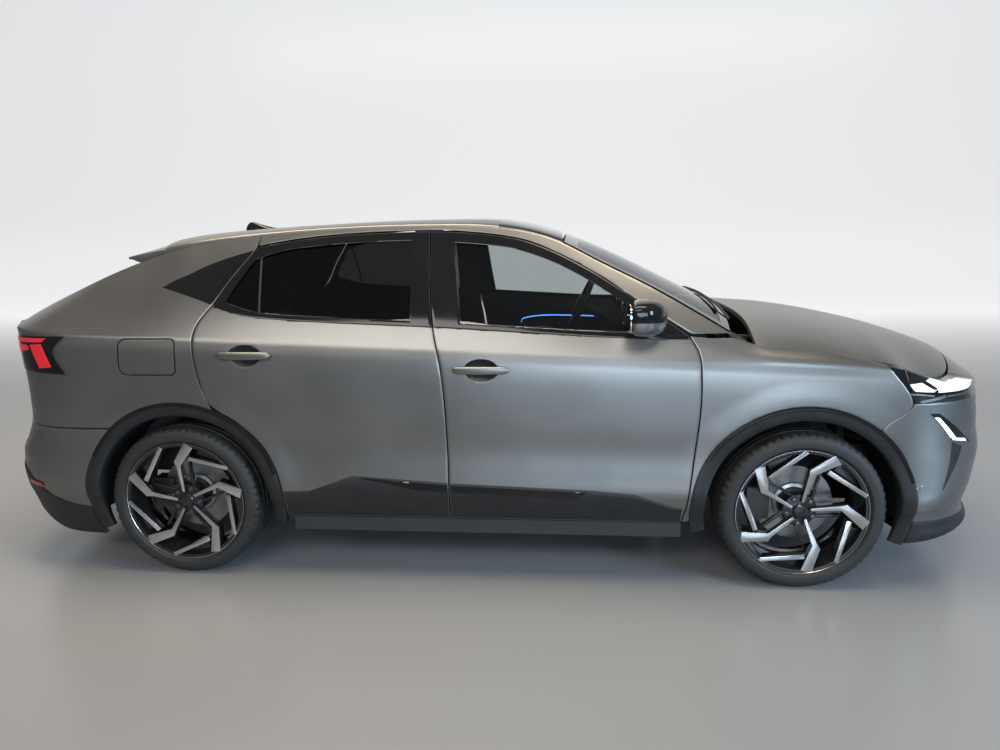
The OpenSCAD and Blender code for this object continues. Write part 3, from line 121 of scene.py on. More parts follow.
BELT_RISE = [[-1400, 226], [-1223, 168], [-1080, 127], [-934, 106], [-600, 98], [-186, 97], [596, 84], [934, 90],
    [1100, 94]]
DOOR_TOP = [[-1269, 1411], [-959, 1490], [-649, 1530], [-275, 1545], [-60, 1540], [205, 1505], [381, 1440],
    [556, 1345], [733, 1228], [930, 1105]]


def crease_z(x):
    return 1043 - 0.0426 * np.asarray(x, float)


def nose_len(z):
    return BODY_LEN / 2 - X_NOSE - curve(NOSE_INSET, z)


def tail_len(z):
    return BODY_LEN / 2 + X_TAIL - curve(TAIL_INSET, z)


def rounding(d, n):
    return np.maximum(1 - np.maximum(d, 0) ** n, 0) ** (1 / n)


def flare(x, z):
    r = np.minimum(np.hypot(x - X_FA, z - AXLE_Z), np.hypot(x - X_RA, z - AXLE_Z))
    t = np.clip((r - ARCH_R) / 110, 0, 1)
    return np.where(z > AXLE_Z, 7 * (1 - t * t * (3 - 2 * t)), 0)


def side_y(x, z):
    base = HALF_W - curve(SIDE_INSET, (z - SILL_Z) / (crease_z(x) - SILL_Z)) + flare(x, z)
    return base * rounding((x - X_NOSE) / nose_len(z), NOSE_N) * rounding((X_TAIL - x) / tail_len(z), TAIL_N)


def edge_z(x):
    return curve(EDGE_Z, x)


def edge_y(x):
    return HALF_W - curve(EDGE_INSET, x)


def skin_y(x, z):
    x, z = np.asarray(x, float), np.asarray(z, float)
    zc = crease_z(x)
    w = np.maximum((z - zc) / np.maximum(edge_z(x) - zc, 1), 0)
    upper = lerp(side_y(x, zc), edge_y(x), w) + 9 * 4 * w * (1 - w)
    return np.where(z <= zc, side_y(x, np.minimum(z, zc)), upper)


def belt_z(x):
    return crease_z(x) + curve(BELT_RISE, x)


def door_top(x):
    return curve(DOOR_TOP, x)


# Regions of the side view: four lists of (x, z) points that meet at the corners
def coons(bottom, top, rear, front, cols, rows):
    b, t, r, f = (np.asarray(c, float) for c in (bottom, top, rear, front))
    s, u = np.linspace(0, 1, cols + 1), np.linspace(0, 1, rows + 1)
    B, T, R, F = along(b, s), along(t, s), along(r, u), along(f, u)
    S, U = s[None, :, None], u[:, None, None]
    return ((1 - U) * B[None] + U * T[None] + (1 - S) * R[:, None] + S * F[:,
        None] - (1 - S) * (1 - U) * b[0] - S * (1 - U) * b[-1] - (1 - S) * U * t[0] - S * U * t[-1])


def outline(bottom, top, rear, front, n=24):
    t = np.linspace(0, 1, n + 1)
    return np.concatenate([along(bottom, t[:-1]), along(front, t[:-1]), along(top, t[::-1][:-1]),
        along(rear, t[::-1][:-1])])


def rectangle(x0, x1, z0, z1):
    return [(x0, z0), (x1, z0), (x1, z1), (x0, z1)]


def shifted(points, dx, dz=0):
    return [[p[0] + dx, p[1] + dz] for p in points]


def on_skin(grid, depth):
    y = skin_y(grid[..., 0], grid[..., 1]) - depth
    return np.stack([grid[..., 0], y, grid[..., 1]], -1)


def wall_t(x, z, low, high):
    return lerp(low, high, np.clip((z - belt_z(x) + 70) / 60, 0, 1))


# Mesh helpers
def only(obj):
    bpy.ops.object.select_all(action="DESELECT")
    obj.select_set(True)
    bpy.context.view_layer.objects.active = obj


def add_mesh(name, verts_mm, faces):
    me = bpy.data.meshes.new(name)
    me.from_pydata([tuple(v) for v in np.asarray(verts_mm, float) / 1000.0], [], faces)
    me.validate()
    ob = bpy.data.objects.new(name, me)
    scene.collection.objects.link(ob)
    return ob


def slab_faces(n, m):
    i, j = mesh_grid(np.arange(n - 1), np.arange(m - 1))
    o = lambda a, b: a * m + b
    q = lambda a, b: n * m + a * m + b
    i, j = i.ravel(), j.ravel()
    faces = list(zip(o(i, j), o(i, j + 1), o(i + 1, j + 1), o(i + 1, j)))
    faces += list(zip(q(i, j), q(i + 1, j), q(i + 1, j + 1), q(i, j + 1)))
    j = np.arange(m - 1)
    faces += list(zip(o(0, j), q(0, j), q(0, j + 1), o(0, j + 1)))
    faces += list(zip(o(n - 1, j), o(n - 1, j + 1), q(n - 1, j + 1), q(n - 1, j)))
    i = np.arange(n - 1)
    faces += list(zip(o(i, 0), o(i + 1, 0), q(i + 1, 0), q(i, 0)))
    faces += list(zip(o(i, m - 1), q(i, m - 1), q(i + 1, m - 1), o(i + 1, m - 1)))
    return [tuple(int(v) for v in f) for f in faces]


def slab(name, outer, inner):
    n, m = outer.shape[:2]
    return outwards(add_mesh(name, np.concatenate([outer.reshape(-1, 3), inner.reshape(-1, 3)]), slab_faces(n, m)))


def outwards(ob):
    only(ob)
    bpy.ops.object.mode_set(mode="EDIT")
    bpy.ops.mesh.select_all(action="SELECT")
    bpy.ops.mesh.remove_doubles(threshold=MERGE_M)
    bpy.ops.mesh.normals_make_consistent(inside=False)
    bpy.ops.object.mode_set(mode="OBJECT")
    return ob


def apply_all(ob):
    only(ob)
    for m in list(ob.modifiers):
        bpy.ops.object.modifier_apply(modifier=m.name)
    return ob


def combine(ob, other, how="DIFFERENCE", solver="MANIFOLD"):
    m = ob.modifiers.new("cut", "BOOLEAN")
    m.operation, m.object, m.solver = how, other, solver
    apply_all(ob)
    bpy.data.objects.remove(other)
    return ob


def prism_y(name, points, low, high, axis=1):
    n = len(points)
    v = [(*p[:axis], h, *p[axis:]) for h in (low, high) for p in points]
    f = [tuple(range(n)), tuple(range(2 * n - 1, n - 1, -1))]
    f += [(i, n + i, n + (i + 1) % n, (i + 1) % n) for i in range(n)]
    return outwards(add_mesh(name, v, f))


def prism_z(name, points, low, high):
    return prism_y(name, points, low, high, 2)


def drum(name, x, y0, y1, z, r, n=160):
    return prism_y(name, [(x + r * math.cos(t), z + r * math.sin(t)) for t in circle(n)], y0, y1)


def mirror_y(ob):
    ob.data.transform(Matrix.Diagonal((1, -1, 1, 1)))
    ob.data.flip_normals()
    return ob


def copy_of(ob, name):
    c = ob.copy()
    c.data = ob.data.copy()
    c.name = name
    scene.collection.objects.link(c)
    return c


def coloured(ob, mat, angle=32, bevel=0.0):
    if bevel:
        m = ob.modifiers.new("edge", "BEVEL")
        m.width, m.segments, m.limit_method, m.angle_limit = bevel / 1000.0, 2, "ANGLE", math.radians(50)
        apply_all(ob)
    only(ob)
    bpy.ops.object.shade_smooth_by_angle(angle=math.radians(angle))
    ob.data.materials.clear()
    ob.data.materials.append(mat)
    return ob


def on_body(ob, body, replaces=()):
    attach(ob, body)
    if replaces:
        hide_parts(*replaces)
    return ob


def finish_piece(ob, mat, body="body", replaces=(), slot=None, angle=32, bevel=0.0):
    return on_body(coloured(ob, mat, angle, bevel), body, replaces)


def joined(name, parts):
    """Several meshes become one, each part keeping its own material."""
    bpy.ops.object.select_all(action="DESELECT")
    for p in parts:
        p.select_set(True)
    bpy.context.view_layer.objects.active = parts[0]
    bpy.ops.object.join()
    parts[0].name = parts[0].data.name = name
    return parts[0]


def piece_of(name, parts, body="body", replaces=()):
    return on_body(joined(name, parts), body, replaces)


def with_mirror(ob):
    return [ob, mirror_y(copy_of(ob, ob.name + "_other"))]


def skin_surface(x, z, d):
    return on_skin(np.stack([x, z], -1), d)


def patch(name, surface, region, cols, rows, proud, deep):
    """A thin plate on a curved surface: region holds four lists of surface coordinates."""
    g = coons(*region, cols, rows)
    return slab(name, surface(g[..., 0], g[..., 1], -proud), surface(g[..., 0], g[..., 1], deep))


def pair(name, surface, region, cols, rows, proud, deep, mat, bevel=0.0):
    """A plate on a curved surface and its mirror image."""
    return with_mirror(coloured(patch(name, surface, region, cols, rows, proud, deep), mat, bevel=bevel))


def pairs(name, surface, shapes, *look):
    return [ob for corners in shapes for ob in pair(name, surface, four(*corners), *look)]


def four(a, b, c, d):
    """Corners low rear, low front, high front, high rear."""
    return [a, b], [d, c], [a, d], [b, c]


def loft(name, rings):
    r = np.asarray(rings, float)
    n, m = r.shape[:2]
    f = [(i * m + j, i * m + (j + 1) % m, (i + 1) * m + (j + 1) % m, (i + 1) * m + j) for i in range(n - 1)
        for j in range(m)]
    f += [tuple(range(m))[::-1], tuple((n - 1) * m + j for j in range(m))]
    return outwards(add_mesh(name, r.reshape(-1, 3), f))


def upright_plate(name, pts, xs):
    """A plate across the car, from an outline of y, z points."""
    return loft(name, [np.array([(x, y, z) for y, z in pts]) for x in xs])


def ring_mesh(name, v):
    """A mesh that closes on itself both ways, like a tyre."""
    n, m = v.shape[:2]
    f = [(i * m + j, i * m + (j + 1) % m, ((i + 1) % n) * m + (j + 1) % m, ((i + 1) % n) * m + j) for i in range(n)
        for j in range(m)]
    return outwards(add_mesh(name, v.reshape(-1, 3), f))


def flat_bar(name, path, rx, rz):
    q = circle(8)
    return loft(name, [c + np.stack([rx * np.cos(q), 0 * q, rz * np.sin(q)], -1) for c in path])


def round_post(name, rings, n):
    """A post of round sections, each given as x, y, radius, z."""
    q = circle(n)
    return loft(name, [np.stack([x + r * np.cos(q), y + r * np.sin(q), np.full(n, z)], -1) for x, y, r, z in rings])


# Materials
def set_values(node, values):
    for name, value in values.items():
        node.inputs[name].default_value = value


def socket_group(name, inputs, outputs):
    g = bpy.data.node_groups.new(name, "ShaderNodeTree")
    for n, kind, default in inputs:
        s = g.interface.new_socket(name=n, in_out="INPUT", socket_type=kind)
        s.default_value = default
    for n, kind in outputs:
        g.interface.new_socket(name=n, in_out="OUTPUT", socket_type=kind)
    return g, g.nodes.new("NodeGroupInput"), g.nodes.new("NodeGroupOutput")


def mottle_group():
    """Soft mottling and fine grain: a shade for the colour, a shade for the roughness and a height."""
    g, gi, go = socket_group("mottle", [("Scale", "NodeSocketFloat", 40.0), ("Grain Scale", "NodeSocketFloat", 900.0),
        ("Dark", "NodeSocketColor", (0.1, 0.1, 0.1, 1)), ("Light", "NodeSocketColor", (0.2, 0.2, 0.2, 1)),
        ("Rough Low", "NodeSocketFloat", 0.3), ("Rough High", "NodeSocketFloat", 0.5)],
        [("Color", "NodeSocketColor"), ("Roughness", "NodeSocketFloat"), ("Height", "NodeSocketFloat")])
    L, N = g.links.new, g.nodes.new
    tc = N("ShaderNodeTexCoord")
    big, fine = N("ShaderNodeTexNoise"), N("ShaderNodeTexNoise")
    for t, s in ((big, "Scale"), (fine, "Grain Scale")):
        L(tc.outputs["Object"], t.inputs["Vector"])
        L(gi.outputs[s], t.inputs["Scale"])
    set_values(big, {"Detail": 3.0})
    set_values(fine, {"Detail": 2.0})
    both = N("ShaderNodeMath")
    both.operation = "ADD"
    L(big.outputs["Fac"], both.inputs[0])
    L(fine.outputs["Fac"], both.inputs[1])
    level = N("ShaderNodeMapRange")
    set_values(level, {"From Min": 0.6, "From Max": 1.4})
    L(both.outputs[0], level.inputs["Value"])
    mix = N("ShaderNodeMix")
    mix.data_type = "RGBA"
    L(level.outputs["Result"], mix.inputs[0])
    L(gi.outputs["Dark"], mix.inputs[6])
    L(gi.outputs["Light"], mix.inputs[7])
    rough = N("ShaderNodeMapRange")
    L(big.outputs["Fac"], rough.inputs["Value"])
    L(gi.outputs["Rough Low"], rough.inputs["To Min"])
    L(gi.outputs["Rough High"], rough.inputs["To Max"])
    set_values(rough, {"From Min": 0.25, "From Max": 0.75})
    L(mix.outputs[2], go.inputs["Color"])
    L(rough.outputs["Result"], go.inputs["Roughness"])
    L(fine.outputs["Fac"], go.inputs["Height"])
    return g


MOTTLE = mottle_group()


def shader(name, values):
    """A material with these values on its main shader node."""
    m = bpy.data.materials.new(name)
    m.use_nodes = True
    set_values(m.node_tree.nodes["Principled BSDF"], values)
    return m


def finish(name, dark, light, rough, metallic=0.0, scale=40.0, grain=900.0, bump=0.0, coat=0.0, coat_rough=0.05,
        sheen=0.0, aniso=0.0, spec=0.5):
    m = shader(name, {"Metallic": metallic, "Coat Weight": coat, "Coat Roughness": coat_rough, "Sheen Weight": sheen,
        "Anisotropic": aniso, "Specular IOR Level": spec})
    t = m.node_tree
    p = t.nodes["Principled BSDF"]
    g = t.nodes.new("ShaderNodeGroup")
    g.node_tree = MOTTLE
    set_values(g, {"Scale": scale, "Grain Scale": grain, "Dark": (*dark, 1), "Light": (*light, 1),
        "Rough Low": rough[0], "Rough High": rough[1]})
    t.links.new(g.outputs["Color"], p.inputs["Base Color"])
    t.links.new(g.outputs["Roughness"], p.inputs["Roughness"])
    if bump:
        b = t.nodes.new("ShaderNodeBump")
        set_values(b, {"Strength": 1.0, "Distance": bump / 1000.0})
        t.links.new(g.outputs["Height"], b.inputs["Height"])
        t.links.new(b.outputs["Normal"], p.inputs["Normal"])
    return m


def clear_glass(name, tint, ior=1.45):
    return shader(name, {"Base Color": (*tint, 1), "Roughness": 0.0, "IOR": ior, "Transmission Weight": 1.0})


def glow(name, color, strength):
    return shader(name, {"Base Color": (*color, 1), "Roughness": 0.25, "Emission Color": (*color, 1),
        "Emission Strength": strength})


PAINT = finish("satin_grey_paint", (0.165, 0.163, 0.16), (0.235, 0.232, 0.228), (0.32, 0.36), metallic=0.85,
    scale=3.0, grain=2600.0)
GLOSS_BLACK = finish("gloss_black", (0.006, 0.006, 0.007), (0.011, 0.011, 0.012), (0.05, 0.08), scale=6.0, coat=0.08,
    coat_rough=0.02, spec=0.24)
# Grained black plastic, also used as painted shade under the roof rails and in the handle hollows.
CLADDING_AND_PAINTED_SHADE = finish("grained_cladding", (0.009, 0.009, 0.010), (0.018, 0.018, 0.019), (0.42, 0.54), scale=12.0,
    grain=700.0, bump=0.12, spec=0.35)
DARK_STEEL = finish("underbody_black", (0.012, 0.012, 0.013), (0.03, 0.03, 0.031), (0.55, 0.75), scale=9.0,
    grain=300.0, bump=0.15)
CLEAR_GLASS = clear_glass("window_glass", (0.62, 0.66, 0.66))
DARK_GLASS = clear_glass("privacy_glass", (0.12, 0.125, 0.13))
SCREEN_GLASS = clear_glass("windscreen_glass", (0.26, 0.28, 0.29), ior=1.08)
SOFT_PLASTIC = finish("soft_grained_plastic", (0.010, 0.010, 0.011), (0.022, 0.022, 0.023), (0.5, 0.66), scale=14.0,
    grain=620.0, bump=0.15)
LEATHER = finish("grip_leather", (0.012, 0.012, 0.012), (0.026, 0.025, 0.025), (0.42, 0.55), scale=30.0, grain=420.0,
    bump=0.25)
CLOTH = finish("woven_seat_cloth", (0.030, 0.030, 0.032), (0.062, 0.062, 0.066), (0.82, 0.95), scale=18.0,
    grain=1100.0, bump=0.4, sheen=0.4)
SEAM = finish("seat_piping", (0.10, 0.11, 0.12), (0.16, 0.17, 0.19), (0.6, 0.7), scale=60.0, grain=900.0, bump=0.1)
HEADLINER = finish("headliner_felt", (0.030, 0.030, 0.031), (0.048, 0.048, 0.05), (0.88, 0.98), scale=20.0,
    grain=900.0, bump=0.3, sheen=0.3)
BELT = finish("belt_webbing", (0.012, 0.012, 0.013), (0.022, 0.022, 0.024), (0.6, 0.75), scale=90.0, grain=1500.0,
    bump=0.2)
RUBBER = finish("tyre_rubber", (0.009, 0.009, 0.009), (0.021, 0.021, 0.021), (0.55, 0.75), scale=16.0, grain=500.0,
    bump=0.1)
RIM_DARK = finish("dark_alloy", (0.010, 0.010, 0.011), (0.020, 0.020, 0.021), (0.18, 0.28), metallic=0.35, scale=9.0,
    grain=1400.0, coat=0.4, coat_rough=0.08)
RIM_BRIGHT = finish("machined_alloy", (0.50, 0.50, 0.51), (0.66, 0.66, 0.67), (0.2, 0.28), metallic=1.0, scale=16.0,
    grain=2400.0, aniso=0.4)
BRIGHT_METAL = finish("satin_silver", (0.42, 0.42, 0.43), (0.56, 0.56, 0.57), (0.26, 0.36), metallic=1.0, scale=12.0,
    grain=1600.0)
DISC_STEEL = finish("brake_disc_steel", (0.22, 0.22, 0.22), (0.36, 0.36, 0.36), (0.3, 0.42), metallic=1.0, scale=20.0,
    grain=1400.0, aniso=0.6)
DARK_STEEL_BRIGHT = finish("wheel_nut_steel", (0.10, 0.10, 0.10), (0.18, 0.18, 0.18), (0.28, 0.4), metallic=1.0,
    scale=40.0)
CAST_METAL = finish("cast_metal", (0.05, 0.05, 0.05), (0.11, 0.11, 0.11), (0.45, 0.65), metallic=0.7, scale=20.0,
    grain=380.0, bump=0.2)
ENGINE_COVER = finish("engine_cover", (0.015, 0.015, 0.016), (0.035, 0.035, 0.036), (0.45, 0.6), scale=10.0,
    grain=500.0, bump=0.2)
MIRROR_GLASS = finish("mirror_glass", (0.72, 0.73, 0.75), (0.78, 0.79, 0.81), (0.02, 0.03), metallic=1.0, scale=4.0)
PLATE_WHITE = finish("blank_plate", (0.62, 0.62, 0.61), (0.70, 0.70, 0.69), (0.3, 0.4), scale=8.0, grain=1500.0)
RED_REFLECTOR = finish("red_reflector", (0.16, 0.004, 0.006), (0.26, 0.010, 0.012), (0.08, 0.14), scale=60.0,
    coat=0.6, coat_rough=0.02)
LENS = clear_glass("lamp_lens", (0.96, 0.97, 0.98))
LAMP_WHITE = glow("lamp_white", (0.93, 0.95, 1.0), 1.1)
LAMP_RED = glow("lamp_red", (0.62, 0.02, 0.03), 0.22)
BLUE_LIGHT = glow("blue_light_line", (0.10, 0.35, 1.0), 2.2)

# Doors
B_LINE = [[-103, SILL_Z], [-104, 470], [-110, 780], [-128, 980], [-165, 1160], [-182, 1350],
    [-190, float(door_top(-190))]]
DOOR_FRONT_EDGE = [[X_FA - 497, SILL_Z], [X_FA - 474, 451], [X_FA - 443, 760], [X_FA - 441, 930], [X_FA - 450, 1030],
    [X_FA - 487, 1102]]
ARCH_CLEAR = ARCH_R + PANEL_GAP


def on_arch(deg):
    a = math.radians(deg)
    return [X_RA + ARCH_CLEAR * math.cos(a), AXLE_Z + ARCH_CLEAR * math.sin(a)]


REAR_DOOR_EDGE = [on_arch(math.degrees(math.asin((SILL_Z - AXLE_Z) / ARCH_CLEAR))), on_arch(13), on_arch(33),
    on_arch(52), [X_RA + 168, 812], [X_RA + 132, 910], [X_RA + 110, 1040], [X_RA + 116, 1150], [X_RA + 190, 1258],
    [X_RA + 245, 1345], [X_RA + 318, 1440], [X_RA + 348, float(door_top(X_RA + 348))]]


def top_points(xs):
    return [[x, float(door_top(x))] for x in xs]


FD_REAR, FD_FRONT = shifted(B_LINE, HALF_GAP), shifted(DOOR_FRONT_EDGE, -HALF_GAP)
FD = ([FD_REAR[0], FD_FRONT[0]], [FD_REAR[-1]] + top_points([-60, 100, 240, 381, 520, 640, 760]) + [FD_FRONT[-1]],
    FD_REAR, FD_FRONT)
RD_FRONT = shifted(B_LINE, -HALF_GAP)
RD = ([REAR_DOOR_EDGE[0], RD_FRONT[0]], [REAR_DOOR_EDGE[-1]] + top_points([-850, -700, -550, -400, -290])
    + [RD_FRONT[-1]], REAR_DOOR_EDGE, RD_FRONT)
GLASS_LOW = 18


def belt_points(xs, up=GLASS_LOW):
    return [[x, float(belt_z(x)) + up] for x in xs]


FW_REAR = belt_points([-45]) + [[-66, 1330], [-84, float(door_top(-84)) - 44]]
FW_FRONT = belt_points([812]) + [[814, 1128], [812, 1141]]
FW = (belt_points([-45, 240, 530, 812]), [FW_REAR[2]] + shifted(top_points([60, 205, 381, 556, 690]), 0,
    -44) + [FW_FRONT[2]], FW_REAR, FW_FRONT)
RW_REAR = belt_points([-1096], GLASS_LOW + 12) + [[-1062, 1318], [-985, 1432]]
RW_FRONT = belt_points([-262]) + [[-266, 1330], [-272, float(door_top(-272)) - 36]]
RW = ([RW_REAR[0]] + belt_points([-934, -700, -480]) + [RW_FRONT[0]],
    [RW_REAR[2]] + shifted(top_points([-850, -650, -450]), 0, -36) + [RW_FRONT[2]], RW_REAR, RW_FRONT)


def door_shell(name, region, taper, cols, rows):
    g = coons(*region, cols, rows)
    x = g[..., 0] + taper * (1 - np.linspace(0, 1, cols + 1))[None, :]
    inner = np.stack([x, skin_y(g[..., 0], g[..., 1]) - wall_t(g[..., 0], g[..., 1], DOOR_T, FRAME_T), g[..., 1]], -1)
    return slab(name, on_skin(g, 0), inner)


def both_sides(make, name, mat, body="body", node=None, **kw):
    """make() gives the left piece, and the right one is its mirror image. A %s in a name stands for the side."""
    left = make(name % "left")
    right = mirror_y(copy_of(left, name % "right"))
    for ob, side in ((left, "left"), (right, "right")):
        finish_piece(ob, mat, body.replace("%s", side), (node % side,) if node else (), **kw)
    return left, right


CUP_X, CUP_Y, CUP_Z = 78, 30, 52
HANDLES = {"front": (48.0, float(crease_z(48)) - 72), "rear": (-988.0, float(crease_z(-988)) - 54)}


def cup(d, x, z):
    """A shallow hollow for the fingers behind a door handle."""
    bpy.ops.mesh.primitive_uv_sphere_add(segments=48, ring_count=24, radius=1.0)
    s = bpy.context.object
    s.data.transform(Matrix.Translation((x / 1000, (float(skin_y(x, z)) + 8) / 1000,
        z / 1000)) @ Matrix.Diagonal((CUP_X / 1000, CUP_Y / 1000, CUP_Z / 1000, 1)))
    return combine(d, s)


def recoloured(ob, mat, wanted):
    """Faces picked by wanted(middle in millimetres, normal) get another material."""
    ob.data.materials.append(mat)
    k = len(ob.data.materials) - 1
    for f in ob.data.polygons:
        c = f.center * 1000
        if wanted(Vector((c.x, abs(c.y), c.z)), f.normal):
            f.material_index = k


def above_belt(c, _):
    return c.z > belt_z(c.x) - 1.5


# Faces of the hollow behind a door handle, which get the dark cladding as painted shade.
def painted_shade_in_cup(c, _):
    return any(((c.x - x) / CUP_X) ** 2 + ((c.z - z) / CUP_Z) ** 2 < 1 and c.y < skin_y(c.x,
        c.z) - 0.8 and c.y > skin_y(c.x, c.z) - 60 for x, z in HANDLES.values())


def lined(pieces, mat):
    """The faces that look into the cabin get the inside trim material."""
    for ob, s in zip(pieces, (1, -1)):
        ob.data.materials.append(mat)
        for f in ob.data.polygons:
            if f.normal.y * s < -0.35:
                f.material_index = 1


HINGE_HALF, HINGE_Y = 28, (700, 918.85)


def door(name, region, window, rows, hinge_x, hinge_zs, handle):
    d = door_shell(name, region, 18, 84, rows)
    combine(d, prism_y("cutter", outline(*window), 300, 1000))
    for z in hinge_zs:
        box = rectangle(*hinge_x, z - HINGE_HALF, z + HINGE_HALF)
        combine(d, prism_y("cutter", box, *HINGE_Y))
    return cup(d, *handle)


for end, region, window, rows, hinge_x, hinge_zs in (("front", FD, FW, 96, (862, 1000), (430, 880)),
        ("rear", RD, RW, 100, (-167, -29), (430, 860))):
    pieces = both_sides(lambda n: door(n, region, window, rows, hinge_x, hinge_zs, HANDLES[end]), end + "_door_%s",
        PAINT, "door_" + end + "_%s", "door_" + end + "_%s", slot="paint", bevel=2.0)
    lined(pieces, SOFT_PLASTIC)
    for ob in pieces:
        recoloured(ob, CLADDING_AND_PAINTED_SHADE, above_belt)
        # The handle hollows are coloured dark: painted shade in the recess.
        recoloured(ob, CLADDING_AND_PAINTED_SHADE, painted_shade_in_cup)


def pane(name, region, cols, rows, depth=9.0, gap=0.8):
    c = (along(region[0], 0.5)[0] + along(region[1], 0.5)[0]) / 2
    shrunk = []
    for side in region:
        s = np.asarray(side, float)
        d = c - s
        shrunk.append(s + gap * d / np.linalg.norm(d, axis=1)[:, None])
    g = coons(*shrunk, cols, rows)
    return slab(name, on_skin(g, depth), on_skin(g, depth + GLASS_T))


both_sides(lambda n: pane(n, FW, 60, 28), "front_glass_%s", CLEAR_GLASS, "door_front_%s", "glass_front_%s",
    slot="glass_clear")
both_sides(lambda n: pane(n, RW, 60, 28), "rear_glass_%s", DARK_GLASS, "door_rear_%s", "glass_rear_%s",
    slot="glass_dark")

# Fenders, roof rails, quarters
FENDER_REAR = shifted(DOOR_FRONT_EDGE, HALF_GAP)
FENDER_SPLIT = [[X_FA + 270, 470], [X_FA + 280, 690], [X_FA + 300, 735], [X_FA + 404, 829], [X_FA + 304, 983.6]]


def fender_top_z(x):
    return float(belt_z(x)) + 2 if x < X_FA - 300 else float(edge_z(x)) - (5 if x > X_FA + 290 else 0)


FENDER = ([FENDER_REAR[0], [X_FA - 100, 400], FENDER_SPLIT[0]],
    [FENDER_REAR[-1]] + [[x, fender_top_z(x)] for x in (X_FA - 400, X_FA - 315, X_FA - 230, X_FA - 146, X_FA,
    X_FA + 100, X_FA + 200)] + [FENDER_SPLIT[-1]], FENDER_REAR, FENDER_SPLIT)


def fender(name):
    g = coons(*FENDER, 96, 84)
    x, z = g[..., 0], g[..., 1]
    t = lerp(PANEL_T, FLANGE_T, np.clip((z - crease_z(x) + 30) / 50, 0, 1))
    f = slab(name, on_skin(g, 0), np.stack([x, skin_y(x, z) - t, z], -1))
    return combine(f, drum("cutter", X_FA, 700, 1100, AXLE_Z, ARCH_R + ARCH_CUT))


both_sides(fender, "fender_skin_%s", PAINT, "body", "fender_%s", slot="paint", bevel=1.5)

RAIL_REAR_X, ROOF_FRONT_X = X_RA + 352, 392.0


def rail(name):
    xs = np.concatenate([np.linspace(RAIL_REAR_X + 0.3, ROOF_FRONT_X, 90), np.linspace(ROOF_FRONT_X, 1095, 50)[1:]])
    low = np.minimum(door_top(xs) + PANEL_GAP * 1.3, edge_z(xs) - 7)
    g = np.stack([np.stack([xs, lerp(low, edge_z(xs), k)], -1) for k in np.linspace(0, 1, 8)])
    r = slab(name, on_skin(g, 0), on_skin(g, FRAME_T + 36))
    zs = np.array([SILL_Z + 60, 600, 900, 1040, 1080, 1110, 1180, 1240, 1300, 1420, 1500, 1561])
    px = np.array([-232, -210, -130, -108])
    X = px[None, :] - 38 * np.clip((zs[:, None] - 900) / 250, 0, 1)
    Y = np.where(zs[:, None] < 1000, 774, skin_y(px[None, :], zs[:, None]) - wall_t(px[None, :], zs[:, None] - 60,
        DOOR_T, FRAME_T) - 7)
    outer = np.stack([X, Y, np.broadcast_to(zs[:, None], X.shape)], -1)
    post = slab("post", outer, outer - np.array([0, 46, 0]))
    return combine(r, post, "UNION", "EXACT")


rails = both_sides(rail, "roof_rail_%s_skin", PAINT, "body", "roof_rail_%s", slot="paint", bevel=1.5)
lined(rails, SOFT_PLASTIC)
for ob in rails:
    recoloured(ob, SOFT_PLASTIC, lambda c, n: c.y < skin_y(c.x, c.z) - 5 and c.z > 1000)
    # The rail's downward faces get the black cladding: painted shade in the gap over the doors.
    recoloured(ob, CLADDING_AND_PAINTED_SHADE, lambda c, n: n.z < -0.5)

TAIL_CORNER_X, BUMPER_TOP_Z, TAILGATE_X, QUARTER_T = -2196.0, 690.0, -1450.0, 46.0
QF = [[X_RA + 186, 745]] + shifted(REAR_DOOR_EDGE[4:], -PANEL_GAP) + [[RAIL_REAR_X, float(edge_z(RAIL_REAR_X))]]
QR = [[TAIL_CORNER_X - 11, BUMPER_TOP_Z + 0.3], [TAIL_CORNER_X - 10.7, 860], [TAIL_CORNER_X - 11, 1000],
    [TAIL_CORNER_X - 8, float(edge_z(TAIL_CORNER_X - 8))]]
QB = [QR[0], [-1900, BUMPER_TOP_Z + 4], [-1500, BUMPER_TOP_Z + 14], QF[0]]
QT = [[x, float(edge_z(x))] for x in np.linspace(TAIL_CORNER_X - 8, RAIL_REAR_X, 11)]
FLAP_X, FLAP_Z, FLAP_R, FLAP_FRONT_R = (X_RA - 234, X_RA + 20), (946.0, 1098.0), 34.0, 20


def rounded_rect(x0, x1, z0, z1, r, g=0.0, n=12, front_r=None):
    f, pts = front_r or r, []
    for cx, cz, a0, q in ((x1 - f, z1 - f, 0, f), (x0 + r, z1 - r, 90, r), (x0 + r, z0 + r, 180, r),
            (x1 - f, z0 + f, 270, f)):
        pts += [(cx + (q + g) * math.cos(a), cz + (q + g) * math.sin(a))
            for a in np.radians(np.linspace(a0, a0 + 90, n))]
    return pts


def flap_outline(g):
    return rounded_rect(*FLAP_X, *FLAP_Z, FLAP_R, g, 12, FLAP_FRONT_R)


def quarter(name):
    g = coons(QB, QT, QR, QF, 120, 100)
    x, z = g[..., 0], g[..., 1]
    top = np.where(x > TAILGATE_X + 110, FRAME_T + 36, FLANGE_T)
    t = lerp(FLANGE_T, lerp(QUARTER_T, top, np.clip((z - edge_z(x) + 80) / 45, 0, 1)),
        np.clip((x + 2110) / 150, 0, 1))
    q = slab(name, on_skin(g, 0), np.stack([x, skin_y(x, z) - t, z], -1))
    return combine(q, drum("cutter", X_RA, 700, 1100, AXLE_Z, ARCH_R + ARCH_CUT))


